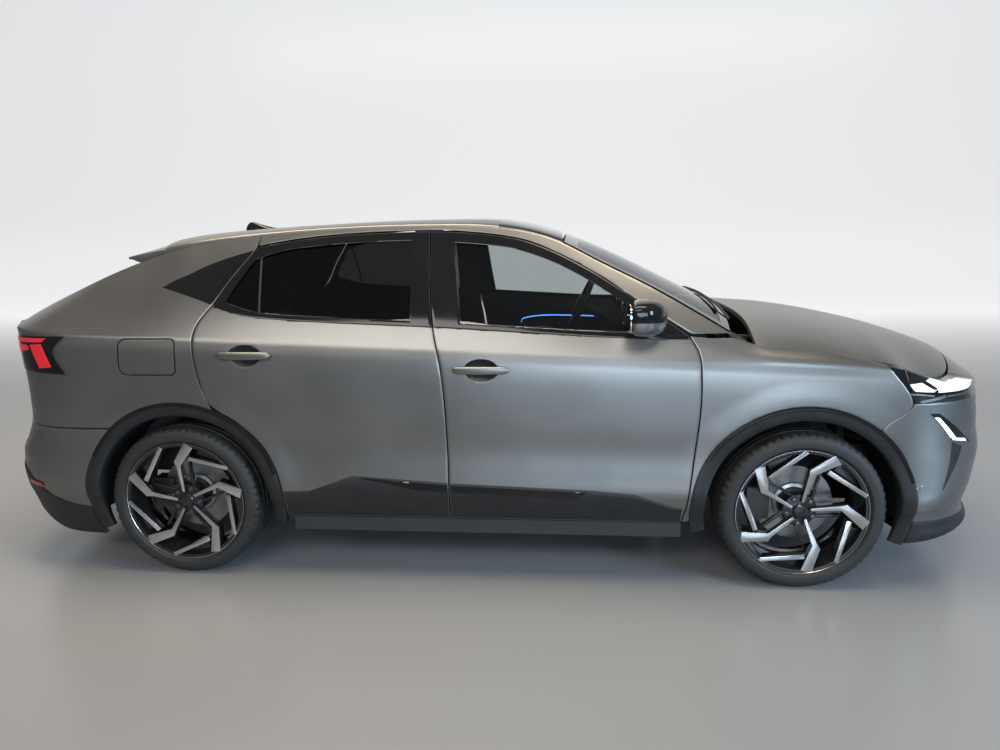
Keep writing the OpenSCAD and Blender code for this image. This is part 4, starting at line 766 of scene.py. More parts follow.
left_quarter = finish_piece(quarter("quarter_skin_left"), PAINT, "body", ("quarter_left",), slot="paint", bevel=1.5)
right_quarter = quarter("quarter_skin_right")
FLAP_POCKET_Y = float(skin_y(FLAP_X[0], FLAP_Z[1])) - 30
combine(right_quarter, prism_y("cutter", flap_outline(PANEL_GAP), FLAP_POCKET_Y, 1000))
finish_piece(mirror_y(right_quarter), PAINT, "body", ("quarter_right",), slot="paint", bevel=1.2)
lined((left_quarter, right_quarter), SOFT_PLASTIC)
for ob in (left_quarter, right_quarter):
    recoloured(ob, CLADDING_AND_PAINTED_SHADE, lambda c, n: c.z > 1243 and c.x > -1170 and n.x > 0.3)


def flap(name):
    xs, zs = np.linspace(*FLAP_X, 60), np.linspace(*FLAP_Z, 40)
    g = np.stack(np.meshgrid(xs, zs), -1)
    f = slab(name, on_skin(g, 0), on_skin(g, 5))
    return combine(f, prism_y("cutter", flap_outline(0.0), 800, 1000), "INTERSECT")


finish_piece(mirror_y(flap("fuel_flap_skin")), PAINT, "fuel_flap", ("fuel_flap",), slot="paint", bevel=1.0)

# Bonnet, windscreen, roof
BONNET_MID = [[1180, 1151], [1300, 1143], [1510, 1127], [1750, 1090], [2000, 1035], [2150, 985], [2230, 945]]
BONNET_DROP = [[1180, 80], [1264, 100], [1504, 101], [1658, 103], [1775, 110], [1900, 165], [2093, 259], [2200, 330]]
BONNET_FRONT = [[0, 2195], [200, 2188], [400, 2158], [600, 2093], [700, 2030], [780, 1940], [830, 1840], [848, 1775]]
BONNET_REAR = [[0, 1228], [500, 1222], [850, 1196]]
BONNET_T, BONNET_P = 22.0, 3.4


def bonnet_half(x):
    return edge_y(np.minimum(x, 1850)) - FLANGE_T - PANEL_GAP


def bonnet_z(x, y):
    return curve(BONNET_MID, x) - curve(BONNET_DROP, x) * (np.abs(y) / bonnet_half(x)) ** BONNET_P


def bonnet_points(u, v):
    a = np.abs(v)
    x = lerp(curve(BONNET_REAR, a * 850), curve(BONNET_FRONT, a * 848), u)
    y = v * bonnet_half(x)
    return np.stack([x, y, bonnet_z(x, y)], -1)


def fine_v(n):
    return np.sin(np.radians(np.linspace(-90, 90, n)))


U, V = mesh_grid(np.linspace(0, 1, 90), fine_v(140))
skin = bonnet_points(U, V)
bonnet = finish_piece(slab("bonnet_skin", skin, skin * np.array([1, 0.995, 1]) - np.array([0, 0, BONNET_T])), PAINT,
    "bonnet", ("bonnet",), slot="paint", bevel=2.0)
recoloured(bonnet, HEADLINER, lambda c, n: n.z < -0.5)

SCREEN_MID = [[392, 1524], [600, 1440], [870, 1310], [1150, 1168]]


def screen_points(u, v, d):
    xe, xm, k = lerp(1088, 396, u), lerp(1150, 408, u), np.abs(v) ** 2.2
    return np.stack([lerp(xm, xe, k) - 0.45 * d, v * (edge_y(xe) - 3),
        lerp(curve(SCREEN_MID, xm), edge_z(xe), k) - 0.9 * d], -1)


U, V = mesh_grid(np.linspace(0, 1, 60), fine_v(120)[::-1])
finish_piece(slab("windscreen_pane", screen_points(U, V, -GLASS_T - 0.5), screen_points(U, V, -0.5)), SCREEN_GLASS,
    "body", ("windscreen",), slot="glass_clear")

ROOF_MID = [[-1480, 1538], [-1345, 1555], [-1034, 1575], [-479, 1600], [-46, 1606], [114, 1599], [250, 1573],
    [378, 1536], [410, 1524]]
ROOF_T, GLASS_A = 30.0, 48.0


def roof_points(x, a, d):
    ye, ze, k = edge_y(x) - d, edge_z(x) + 0.8, 2 / 2.5
    s, c = np.sin(np.radians(a)), np.cos(np.radians(a))
    return np.stack([x, np.sign(a) * ye * np.abs(s) ** k, ze + (curve(ROOF_MID, x) - ze - d) * np.maximum(c, 0) ** k],
        -1)


def roof_slab(name, xs, angles, d):
    X, A = mesh_grid(xs, angles)
    return slab(name, roof_points(X, A, 0.0), roof_points(X, A, d))


roof = roof_slab("roof_skin", np.linspace(TAILGATE_X, ROOF_FRONT_X, 120), np.linspace(-90, 90, 121), ROOF_T)
gx = np.linspace(-760, ROOF_FRONT_X + 40, 40)
gy = roof_points(np.minimum(gx, ROOF_FRONT_X), np.full_like(gx, GLASS_A), 0.0)[:, 1]
combine(roof, prism_z("cutter", list(zip(gx, gy)) + list(zip(gx[::-1], -gy[::-1])), 1300, 1800))
finish_piece(roof, PAINT, "body", ("roof",), slot="paint", bevel=1.5)
finish_piece(roof_slab("roof_glass_pane", np.linspace(-759.5, ROOF_FRONT_X, 80),
    np.linspace(-GLASS_A + 0.25, GLASS_A - 0.25, 81), 12.0), GLOSS_BLACK, "body", ("roof_glass",), slot="gloss_black",
    bevel=1.0)

# Nose and tail
SPLIT_GAP, LAMP_Z, NOSE_TOP_Z = 5.0, 786.0, 888.0


def end_half(x0, z):
    return HALF_W - curve(SIDE_INSET, (z - SILL_Z) / (crease_z(x0) - SILL_Z)) + np.where(z > AXLE_Z, 4, 0)


def end_points(x0, way, length, n, z, a, d):
    """Points on the rounded nose or tail, by height, angle from its middle and depth under the skin."""
    half = end_half(x0, z)
    s, c = np.abs(np.sin(np.radians(a))), np.maximum(np.cos(np.radians(a)), 0)
    return np.stack([x0 + way * (length - d) * c ** (2 / n), np.sign(a) * (half - d) * s ** (2 / n), z], -1)


def nose_points(z, a, d=0.0):
    return end_points(X_NOSE, 1, nose_len(z), NOSE_N, z, a, d)


def tail_points(z, a, d=0.0):
    return end_points(X_TAIL, -1, tail_len(z), TAIL_N, z, a, d)


def end_angle(reach, n):
    return np.degrees(np.arccos(np.clip(reach, 0, 1) ** (n / 2)))


def nose_angle(x, z):
    return end_angle((x - X_NOSE) / nose_len(z), NOSE_N)


def tail_angle(x, z):
    return end_angle((X_TAIL - x) / tail_len(z), TAIL_N)


def split_x(z):
    return by_height(FENDER_SPLIT, z) + SPLIT_GAP


def nose_end(z):
    return nose_angle(np.where(z < 470, X_FA + 380, split_x(z)), z)


LAMP_LOW_Z = 829.0
Z, K = mesh_grid(np.concatenate([np.linspace(196, 300, 22), np.linspace(300, LAMP_Z, 70)[1:]]),
    np.linspace(1, -1, 241))
Z += (Z - 196) / (LAMP_Z - 196) * (LAMP_LOW_Z - LAMP_Z) * np.clip((np.abs(K) * nose_end(Z) - 41.5) / 3, 0, 1)
front = slab("front_bumper_skin", nose_points(Z, K * nose_end(Z)), nose_points(Z, K * nose_end(Z), PANEL_T))
combine(front, drum("cutter", X_FA, -1100, 1100, AXLE_Z, ARCH_R + ARCH_CUT))
finish_piece(front, PAINT, "body", ("front_bumper",), slot="paint", bevel=1.5)


def brow(y):
    v = np.clip(np.abs(y) / 848, 0, 1)
    p = bonnet_points(np.ones_like(v), v)
    return np.stack([p[..., 0] + PANEL_GAP, y, p[..., 2] - 6], -1)


def upper_nose(a, k, d=0.0):
    low = nose_points(lerp(LAMP_Z + 0.3, NOSE_TOP_Z, np.minimum(k, 1)), a, d)
    top = brow(np.clip(low[..., 1], -840, 840))
    t = np.clip(k - 1, 0, 1)[..., None]
    return lerp(low, top, t) - np.stack([0 * k, 0 * k, np.where(k > 1, 0.6 * d, 0)], -1)


LAMP_A = 40.0
K, A = mesh_grid(np.linspace(0, 2, 40), np.linspace(LAMP_A, -LAMP_A, 121))
finish_piece(slab("nose_panel", upper_nose(A, K), upper_nose(A, K, 16.0)), PAINT, "body", ("grille",), slot="paint",
    bevel=1.0)


def tail_x(y, z):
    return X_TAIL - tail_len(z) * rounding(np.abs(y) / end_half(X_TAIL, z), TAIL_N)


Z, K = mesh_grid(np.concatenate([np.linspace(165, 300, 24), np.linspace(300, BUMPER_TOP_Z, 60)[1:]]),
    np.linspace(-1, 1, 181))
rear = slab("rear_bumper_skin", tail_points(Z, K * 90.0), tail_points(Z, K * 90.0, PANEL_T))
combine(rear, drum("cutter", X_RA, -1100, 1100, AXLE_Z, ARCH_R + ARCH_CUT))
finish_piece(rear, PAINT, "body", ("rear_bumper",), slot="paint", bevel=1.5)

GATE_MID = np.array([[-1456, 1524], [-1530, 1496], [-1610, 1448], [-1700, 1400], [-1860, 1340], [-2060, 1262],
    [-2240, 1190], [-2300, 1158]], float)
GATE_EDGE_X = np.array([-1456, -1530, -1610, -1700, -1840, -2000, -2140, -2196], float)


def gate_half(x):
    return edge_y(x) - FLANGE_T - PANEL_GAP


def gate_top(r, v):
    i = np.minimum(np.floor(r).astype(int), 6)
    f = r - i
    mx, mz = lerp(GATE_MID[i, 0], GATE_MID[i + 1, 0], f), lerp(GATE_MID[i, 1], GATE_MID[i + 1, 1], f)
    xe, k = lerp(GATE_EDGE_X[i], GATE_EDGE_X[i + 1], f), np.abs(v) ** 2.2
    return np.stack([lerp(mx, xe, k), v * gate_half(xe), lerp(mz, edge_z(xe) - 4, k)], -1)


def gate_low(z, v):
    y = v * (skin_y(TAIL_CORNER_X - 8, z) - FLANGE_T - PANEL_GAP - 8)
    return np.stack([tail_x(y, z), y, z], -1)


rows = np.linspace(0, 7, 80)
lows = np.concatenate([np.linspace(1150, 1096, 8), np.linspace(1096, BUMPER_TOP_Z + PANEL_GAP, 50)[1:]])
V = fine_v(140)
outer = np.concatenate([np.stack([gate_top(np.full_like(V, r), V) for r in rows]),
    np.stack([gate_low(np.full_like(V, z), V) for z in lows])])
off = np.concatenate([np.stack([np.interp(rows, [0, 5, 6, 7], [8, 8, 20, 34]),
    np.interp(rows, [0, 5, 6, 7], [-36, -36, -30, -24])], -1),
    np.stack([np.full(len(lows), 36.0), np.zeros(len(lows))], -1)])
inner = outer * np.array([1, 0.99, 1])
inner[..., 0] += off[:, None, 0]
inner[..., 2] += off[:, None, 1]
gate = slab("tailgate_skin", outer[::-1], inner[::-1])
wu, wv = np.linspace(2.3, 5.6, 30), np.linspace(-0.8, 0.8, 30)
ring = np.concatenate([gate_top(wu, np.full_like(wu, 0.8)), gate_top(np.full_like(wv, 5.6), wv[::-1])[1:],
    gate_top(wu[::-1], np.full_like(wu, -0.8))[1:], gate_top(np.full_like(wv, 2.3), wv)[1:-1]])
combine(gate, prism_z("cutter", [(p[0], p[1]) for p in ring], 1120, 1700))
finish_piece(gate, PAINT, "tailgate", ("tailgate",), slot="paint", bevel=1.5)
recoloured(gate, SOFT_PLASTIC, lambda c, n: n.x > 0.35 or n.z < -0.35)
U, V = mesh_grid(np.linspace(5.588, 2.312, 50), np.linspace(-0.796, 0.796, 90))
g = gate_top(U, V)
finish_piece(slab("rear_window_pane", g - np.array([0, 0, 5.0]), g - np.array([0, 0, 5.0 + GLASS_T])), DARK_GLASS,
    "tailgate", ("rear_window",), slot="glass_dark")

# Black window surrounds on the door frames and the quarter
def b_line_x(z):
    return float(by_height(B_LINE, z))


def lowered(xs, d=1.5):
    return [[x, float(door_top(x)) - d] for x in xs]


def pillar_line(dx):
    return [[b_line_x(z) + dx, z] for z in (1230, 1330, 1430)]


FT_X = b_line_x(1144) + 4.5
FT_REAR = belt_points([FT_X], -3) + pillar_line(4.5) + lowered([-185.5])
FT_FRONT = belt_points([914], -3) + [[916.5, 1100.3]]
FT = (belt_points([FT_X, 60, 300, 560, 780, 914], -3),
    FT_REAR[-1:] + lowered([-60, 100, 240, 381, 520, 640, 760]) + FT_FRONT[-1:], FT_REAR, FT_FRONT)
RT_REAR = belt_points([-1146], -3) + [[-1136.5, 1258], [-1081.5, 1345], [-1008.5, 1440]] + lowered([-978])
RT_X = b_line_x(1144) - 4.5
RT_FRONT = belt_points([RT_X], -3) + pillar_line(-4.5) + lowered([-194.5])
RT = (belt_points([-1146, -1040, -934, -700, -450, RT_X], -3),
    RT_REAR[-1:] + lowered([-850, -700, -550, -400, -290]) + RT_FRONT[-1:], RT_REAR, RT_FRONT)


def surround(name, region, window, rows):
    return combine(patch(name, skin_surface, region, 110, rows, 1.6, 3.0),
        prism_y("cutter", outline(*window), 300, 1000))


both_sides(lambda n: surround(n, FT, FW, 40), "front_window_surround_%s", GLOSS_BLACK, "door_front_%s",
    slot="gloss_black", bevel=0.8)
both_sides(lambda n: surround(n, RT, RW, 44), "rear_window_surround_%s", GLOSS_BLACK, "door_rear_%s",
    slot="gloss_black", bevel=0.8)
FIN_TIP = [-1407.0, 1316.0]
FIN_FRONT = [[-1161, 1243], [-1144.5, 1262], [-1090, 1347], [-1018.5, 1440], [-996, 1474]]
FIN = ([FIN_TIP, [-1300, 1288], [-1215, 1262], FIN_FRONT[0]],
    [[FIN_TIP[0], FIN_TIP[1] + 2], [-1345, 1350], [-1291, 1371], [-1211, 1408], [-1100, 1446], FIN_FRONT[-1]],
    [FIN_TIP, [FIN_TIP[0], FIN_TIP[1] + 2]], FIN_FRONT)
both_sides(lambda n: patch(n, skin_surface, FIN, 60, 24, 1.6, 3.0), "quarter_fin_%s", GLOSS_BLACK, slot="gloss_black",
    bevel=0.6)
DIVIDER = four([-940, 1190], [-930, 1190], [-952, 1452], [-962, 1452])
both_sides(lambda n: patch(n, skin_surface, DIVIDER, 4, 30, -3.5, 9.2), "glass_divider_%s", CLADDING_AND_PAINTED_SHADE, "door_rear_%s",
    slot="cladding", bevel=1.5)

# Sill cladding on the doors, its gloss insert and the skirt below
def band_on_skin(name, line, low, proud, deep, cols=120, rows=14, ends=None):
    """A band between two lines given as x, z points: its top follows line and its bottom follows low."""
    xs = np.linspace(line[0][0], line[-1][0], cols)
    top, base = np.interp(xs, *np.transpose(line)), np.interp(xs, *np.transpose(low))
    t = np.linspace(0, 1, rows)[:, None]
    x = np.broadcast_to(xs, (rows, cols)).copy()
    z = lerp(base[None], top[None], t)
    if ends is not None:
        x = ends(x, z)
    g = np.stack([x, z], -1)
    return slab(name, on_skin(g, -proud * soft_edge(t, 9)), on_skin(g, deep))


def front_sill(name):
    edge = lambda z: by_height(DOOR_FRONT_EDGE, z) - HALF_GAP - 2
    return band_on_skin(name, [[-97, 461], [524, 438], [705, 423], [868, 366], [906, 362]], [[-97, 289], [912, 289]],
        5.0, 4.0, ends=lambda x, z: np.minimum(x, edge(z)))


def rear_sill(name):
    edge = lambda z: X_RA + np.sqrt(ARCH_CLEAR ** 2 - (z - AXLE_Z) ** 2) + 2
    return band_on_skin(name, [[-856, 413], [-734, 415], [-537, 489], [-109, 462]], [[-856, 289], [-109, 289]], 5.0,
        4.0, ends=lambda x, z: np.maximum(x, edge(z)))


both_sides(front_sill, "front_sill_cladding_%s", CLADDING_AND_PAINTED_SHADE, "door_front_%s", slot="cladding")
both_sides(rear_sill, "rear_sill_cladding_%s", CLADDING_AND_PAINTED_SHADE, "door_rear_%s", slot="cladding")
for end, line, low in (("front", [[-97, 454], [500, 432]], [[-97, 413], [449, 393], [500, 429]]),
        ("rear", [[-500, 481], [-109, 455]], [[-500, 478], [-378, 455], [-256, 424], [-109, 414]])):
    both_sides(lambda n: band_on_skin(n, line, low, 6.2, -2.0, 60, 8), end + "_sill_insert_%s", GLOSS_BLACK,
        "door_" + end + "_%s", slot="gloss_black")


def skirt(name):
    g = np.stack(np.meshgrid(np.linspace(-862, 908, 120), np.linspace(253, 282, 8)), -1)
    return slab(name, on_skin(g, 6), on_skin(g, 46))


both_sides(skirt, "sill_skirt_%s", CLADDING_AND_PAINTED_SHADE, slot="cladding", bevel=4.0)


# Door handles: a bar on two feet over a shallow cup
def oval(cx, cy, cz, ry, rz, m=18, p=2.4):
    a = circle(m)
    c, s = np.cos(a), np.sin(a)
    return np.stack([np.full(m, cx), cy + ry * bowed(c, 2 / p), cz + rz * bowed(s, 2 / p)], -1)


def grip(name, x0, z0):
    t = np.linspace(-1, 1, 41)
    out = 23 - 8 * t ** 2
    k = np.maximum(1 - np.abs(t) ** 14, 0.03) ** 0.5
    ys = skin_y(x0 + 122 * t, np.full_like(t, z0))
    bar = loft(name, [oval(x0 + 122 * a, y + o, z0, 8 * s + 0.3, (17 - 3 * a * a) * s + 0.3, 18, 3.0) for a, o, s,
        y in zip(t, out, k, ys)])
    for d in (-92, 92):
        y = float(skin_y(x0 + d, z0))
        foot = loft("foot", [np.stack([x0 + d + 15 * np.cos(circle(18)), np.full(18, y + q),
            z0 + 10.5 * np.sin(circle(18))], -1) for q in (-6, 18)])
        combine(bar, foot, "UNION", "EXACT")
    return bar


for end, (hx, hz) in HANDLES.items():
    both_sides(lambda n: grip(n, hx, hz), end + "_handle_%s", PAINT, "door_" + end + "_%s", slot="paint", angle=40)

# Door mirrors: gloss housing, grey lower band and glass
MIRROR_Y = float(skin_y(776, belt_z(776)))


def mirror_ring(y, x0, x1, z0, z1, m=20):
    a = circle(m)
    c, s = np.cos(a), np.sin(a)
    x = (x0 + x1) / 2 + (x1 - x0) / 2 * bowed(c, 2 / np.where(c < 0, 5.0, 2.2))
    z = (z0 + z1) / 2 + (z1 - z0) / 2 * bowed(s, 2 / 2.8)
    return np.stack([x, np.full(m, y), z], -1)


MIRROR_RINGS = [(24, 690, 790, 1142, 1250), (30, 672, 806, 1128, 1264), (70, 662, 817, 1122, 1270),
    (120, 660, 812, 1122, 1271), (170, 660, 786, 1128, 1267), (205, 662, 752, 1140, 1258),
    (220, 668, 726, 1160, 1240)]


def mirror_shape(name, low, high, grow=0.0):
    rings = []
    for y, x0, x1, z0, z1 in MIRROR_RINGS:
        rings.append(mirror_ring(MIRROR_Y + y, x0 - grow, x1 + grow, max(z0 - grow, low), min(z1 + grow, high)))
    return loft(name, rings)


def smooth_shape(ob, levels=2):
    m = ob.modifiers.new("round", "SUBSURF")
    m.levels = m.render_levels = levels
    return apply_all(ob)


def mirror_housing(name):
    h = smooth_shape(mirror_shape(name, 0, 2000), 2)
    q = circle(18)
    foot = loft("foot", [np.stack([x0 + rx * np.cos(q), np.full(18, MIRROR_Y + y), z0 + rz * np.sin(q)], -1) for y,
        x0, z0, rx, rz in ((3, 800, float(belt_z(800)) + 6, 58, 16), (12, 796, float(belt_z(796)) + 10, 54, 15),
        (40, 770, 1122, 38, 16), (70, 752, 1140, 34, 20))])
    return combine(h, smooth_shape(foot, 1), "UNION", "EXACT")


both_sides(mirror_housing, "mirror_housing_%s", GLOSS_BLACK, "door_front_%s", "mirror_%s", slot="gloss_black",
    angle=50)


def mirror_band(name):
    b = smooth_shape(mirror_shape(name, 0, 2000, 1.2), 2)
    return combine(b, prism_y("cutter", [(600, 1100), (900, 1100), (900, 1178), (720, 1186), (600, 1186)], 700, 1300),
        "INTERSECT")


both_sides(mirror_band, "mirror_band_%s", PAINT, "door_front_%s", slot="paint", angle=40)


def mirror_glass(name):
    c, s = np.cos(circle(24)), np.sin(circle(24))
    return loft(name, [np.stack([np.full(24, x), MIRROR_Y + 122 + 84 * bowed(c, 0.5), 1196 + 56 * bowed(s, 0.5)], -1)
        for x in (657.2, 661.5)])


both_sides(mirror_glass, "mirror_glass_%s", MIRROR_GLASS, "door_front_%s", slot="alloy")


def nose_surface(a, z, d):
    return nose_points(z, a, d)


def tail_surface(a, z, d):
    return tail_points(z, a, d)


# Headlamps: dark housing, lit wedges and a clear lens
LAMP_KS = np.linspace(0, 2, 34)


def lamp_shell(name, d0, d1, inset=0.0):
    rows_k = np.clip(LAMP_KS, inset * 0.02, 2 - inset * 0.02)
    zk = lerp(LAMP_Z, NOSE_TOP_Z, np.minimum(rows_k, 1))
    end = nose_angle(split_x(zk) + 1.5, zk) - inset * 0.15
    A = np.stack([np.linspace(LAMP_A + 0.1 + inset * 0.1, e, 60)[::-1] for e in end])
    K = np.broadcast_to(rows_k[:, None], A.shape)
    return slab(name, upper_nose(A[:, ::-1], K, d0), upper_nose(A[:, ::-1], K, d1))


housing = with_mirror(coloured(lamp_shell("lamp_housing", 9.0, 16.0), GLOSS_BLACK))
for corners, cols, rows in ((([40.3, 0.0], [83.0, 0.0], [83.0, 0.10], [40.3, 0.10]), 60, 4),
        (([40.2, 0.0], [42.6, 0.0], [42.6, 1.98], [40.2, 1.98]), 4, 30)):
    housing += pair("lamp_rim", upper_nose, four(*corners), cols, rows, -0.4, 9.0, GLOSS_BLACK)
piece_of("headlamp_housings", housing, "body", ("headlamps",))
WEDGES = (([54.6, 0.80], [73.4, 0.84], [71.1, 1.46], [48.4, 1.70]),
    ([44.5, 0.95], [53.4, 0.80], [47.2, 1.66], [44.0, 1.56]),
    ([75.1, 0.87], [82.4, 0.93], [83.6, 1.30], [76.8, 1.36]))
LAMP_RAILS = (([75.6, 0.69], [84, 0.80], [84, 0.86], [75.6, 0.75]),
    ([70, 0.62], [80.6, 0.45], [80.8, 0.53], [70, 0.72]), ([46, 0.60], [69, 0.64], [69, 0.70], [46, 0.66]))
piece_of("headlamp_wedges", pairs("lit_wedge", upper_nose, WEDGES, 20, 10, -5.0, 9.0, LAMP_WHITE, 0.8))
piece_of("headlamp_rails", pairs("lamp_rail", upper_nose, LAMP_RAILS, 40, 3, -4.0, 9.0, BRIGHT_METAL))
piece_of("headlamp_lenses", with_mirror(coloured(lamp_shell("lens", 0.3, 2.6, 1.0), LENS)))

# Black tips that carry the headlamps to a point over the fenders
TIP = ([X_FA + 405, 834], [X_FA + 407, 836], [X_FA + 370, 968], [X_FA + 309, 982])
piece_of("headlamp_tips", pairs("tip", skin_surface, [TIP], 30, 40, -1.0, 5.0, GLOSS_BLACK, 1.0))

# Grille between the lamps: black field with rows of slanted studs
GRILLE = four([-38.5, 0.06], [38.5, 0.06], [38.5, 0.97], [-38.5, 0.97])
finish_piece(patch("grille_field", upper_nose, GRILLE, 120, 14, 0.8, 4.0), GLOSS_BLACK, slot="gloss_black", bevel=0.6)
studs = []
for row in range(4):
    for col in range(-7, 8):
        a0, k0 = col * 4.6 + (row % 2) * 2.3, 0.14 + row * 0.21
        if abs(a0) < 36:
            w = 1.55 - 0.05 * abs(col)
            stud = four([a0 - w + 0.5, k0], [a0 + w + 0.5, k0], [a0 + w - 0.5, k0 + 0.13], [a0 - w - 0.5, k0 + 0.13])
            studs.append(coloured(patch("stud", upper_nose, stud, 4, 2, 5.0, -0.5), PAINT, bevel=1.0))
piece_of("grille_studs", studs)

# Front bumper: slim lamp and vent at each corner, lower intake, cladding, sensors
SLIM_BACK = four([66.4, 660], [53.5, 635], [73.6, 787], [77.6, 789])
VENT = ([[69.0, 448], [68.6, 448]], [[66.6, 657], [60.5, 628]], [[69.0, 448], [67.6, 560], [66.6, 657]],
    [[68.6, 448], [64.4, 540], [60.5, 628]])
vents = pair("slim_back", nose_surface, SLIM_BACK, 24, 24, 0.9, 4.0, GLOSS_BLACK, 0.5)
vents += pair("vent", nose_surface, VENT, 10, 30, 0.9, 4.0, CLADDING_AND_PAINTED_SHADE, 0.5)
piece_of("bumper_vents", vents)
UPRIGHT_LAMP = four([67.4, 674], [64.0, 667], [73.6, 768], [75.6, 771])
LEVEL_LAMP = four([66.4, 664], [57.4, 646], [58.4, 659], [66.6, 675])
slim = pair("slim_lamp", nose_surface, UPRIGHT_LAMP, 8, 24, 3.0, -0.5, LAMP_WHITE, 0.6)
slim += pair("slim_lamp", nose_surface, LEVEL_LAMP, 12, 6, 3.0, -0.5, LAMP_WHITE, 0.6)
piece_of("bumper_slim_lamps", slim)


def front_clad_top(a):
    return curve([[0, 252], [30, 258], [54, 290], [77, 306], [90, 316]], np.abs(a))


T, K = mesh_grid(np.linspace(0, 1, 14), np.linspace(1, -1, 161))
A = K * nose_end(np.full_like(K, 300.0))
Z = lerp(198.0, front_clad_top(A), T)
A = K * (nose_end(Z) - 0.4)
clad = slab("front_lower_cladding", nose_points(Z, A, -4.0 * soft_edge(T, 9)), nose_points(Z, A, 4.0))
combine(clad, drum("cutter", X_FA, -1100, 1100, AXLE_Z, ARCH_R + CLAD_CUT))
finish_piece(clad, CLADDING_AND_PAINTED_SHADE, slot="cladding")
INTAKE = ([[-26, 318], [0, 312], [26, 318]], [[-33, 468], [0, 474], [33, 468]], [[-26, 318], [-33, 468]],
    [[26, 318], [33, 468]])
intake = [coloured(patch("intake", nose_surface, INTAKE, 60, 12, 0.9, 4.0), GLOSS_BLACK)]
for i in range(5):
    z = 338 + i * 27
    w = 25.0 + (z - 318) / 150 * 7
    slat = four([-w, z], [w, z], [w, z + 9], [-w, z + 9])
    intake.append(coloured(patch("slat", nose_surface, slat, 50, 2, 5.0, -0.5), CLADDING_AND_PAINTED_SHADE, bevel=1.0))
piece_of("front_intake", intake)


def disc_on(name, surface, u, v, r, proud, ru):
    """A low round cap. ru is how many millimetres one degree of u spans."""
    q = circle(20)
    return loft(name, [surface(u + s * r / ru * np.cos(q), v + s * r * np.sin(q), -d) for s,
        d in ((1.0, -3.0), (1.0, proud - 0.6), (0.8, proud), (0.05, proud))])


sensors = []
for surface, ru, spots in ((nose_surface, 10.5, ((78.3, 468), (59.7, 353), (30, 520))),
        (tail_surface, 12.0, ((25, 545), (62, 545)))):
    for a, z in spots:
        sensors += with_mirror(coloured(disc_on("sensor", surface, a, z, 9.5, 1.2, ru), PAINT, 40))
piece_of("parking_sensors", sensors)
covers = [mirror_y(coloured(disc_on("tow_cover", nose_surface, 17.4, 475, 24, 1.0, 16.0), PAINT, 40)),
    coloured(disc_on("tow_cover", tail_surface, 20.8, 465, 24, 5.2, 14.0), CLADDING_AND_PAINTED_SHADE, 40)]
piece_of("tow_covers", covers)


def plate(name, x, z, face, w=520.0, h=112.0, r=10.0, m=8):
    pts = rounded_rect(-w / 2, w / 2, z - h / 2, z + h / 2, r, 0.0, 5)
    back = rounded_rect(-w / 2 - m, w / 2 + m, z - h / 2 - m, z + h / 2 + m, r, 0.0, 5)
    sheet = upright_plate(name, pts, (x, x + face * 2.0))
    tray = upright_plate(name + "_tray", back, (x - face * 22.0, x + face * 0.2))
    return [coloured(sheet, PLATE_WHITE, bevel=0.6), coloured(tray, CLADDING_AND_PAINTED_SHADE, bevel=1.5)]


piece_of("front_plate", plate("front_blank_plate", 2356.0, 560.0, 1.0))
piece_of("rear_plate", plate("rear_blank_plate", -2272.0, 800.0, -1.0), "tailgate")

# Tail lamps: black surrounds with red chevrons on the corners and the tailgate
TL = ([[-2190, 948], [-2040, 948], [-1822, 944]], [[-2198, 1100], [-2040, 1110], [-1814, 1114]],
    [[-2190, 948], [-2198, 1100]], [[-1822, 944], [-1876, 1046], [-1814, 1114]])
CHEVRONS = (([-2186, 1076], [-1930, 1086], [-1904, 1104], [-2190, 1094]),
    ([-1956, 968], [-1886, 976], [-1934, 1078], [-2006, 1072]),
    ([-2180, 1010], [-2014, 1050], [-2026, 1070], [-2186, 1066]))
GATE_LAMP = four([0.5, 946], [0.966, 938], [0.966, 1094], [0.5, 1086])
GATE_CHEVRONS = (([0.60, 1052], [0.955, 1052], [0.955, 1088], [0.54, 1082]),
    ([0.74, 962], [0.955, 952], [0.955, 1046], [0.66, 1046]))


def gate_surface(v, z, d):
    return gate_low(z, v) + np.stack([d + 0 * v, 0 * v, 0 * v], -1)


piece_of("tail_lamp_surrounds", pair("surround", skin_surface, TL, 60, 30, 6.0, -1.0, GLOSS_BLACK, 1.5),
    "body", ("tail_lamps",))
piece_of("tail_lamp_chevrons", pairs("chevron", skin_surface, CHEVRONS, 24, 10, 9.0, -5.0, LAMP_RED, 1.2))
piece_of("gate_lamp_surrounds", pair("surround", gate_surface, GATE_LAMP, 40, 20, 7.0, -1.0, GLOSS_BLACK, 1.5),
    "tailgate", ("gate_lamps",))
piece_of("gate_lamp_chevrons", pairs("chevron", gate_surface, GATE_CHEVRONS, 24, 10, 9.0, -5.0, LAMP_RED, 1.2),
    "tailgate")


# Rear bumper: dark lower half with a raised edge, reflectors and a silver skid plate
def rear_clad_top(a):
    return curve([[0, 492], [40, 490], [54, 474], [66, 400], [78, 330], [90, 304]], np.abs(a))


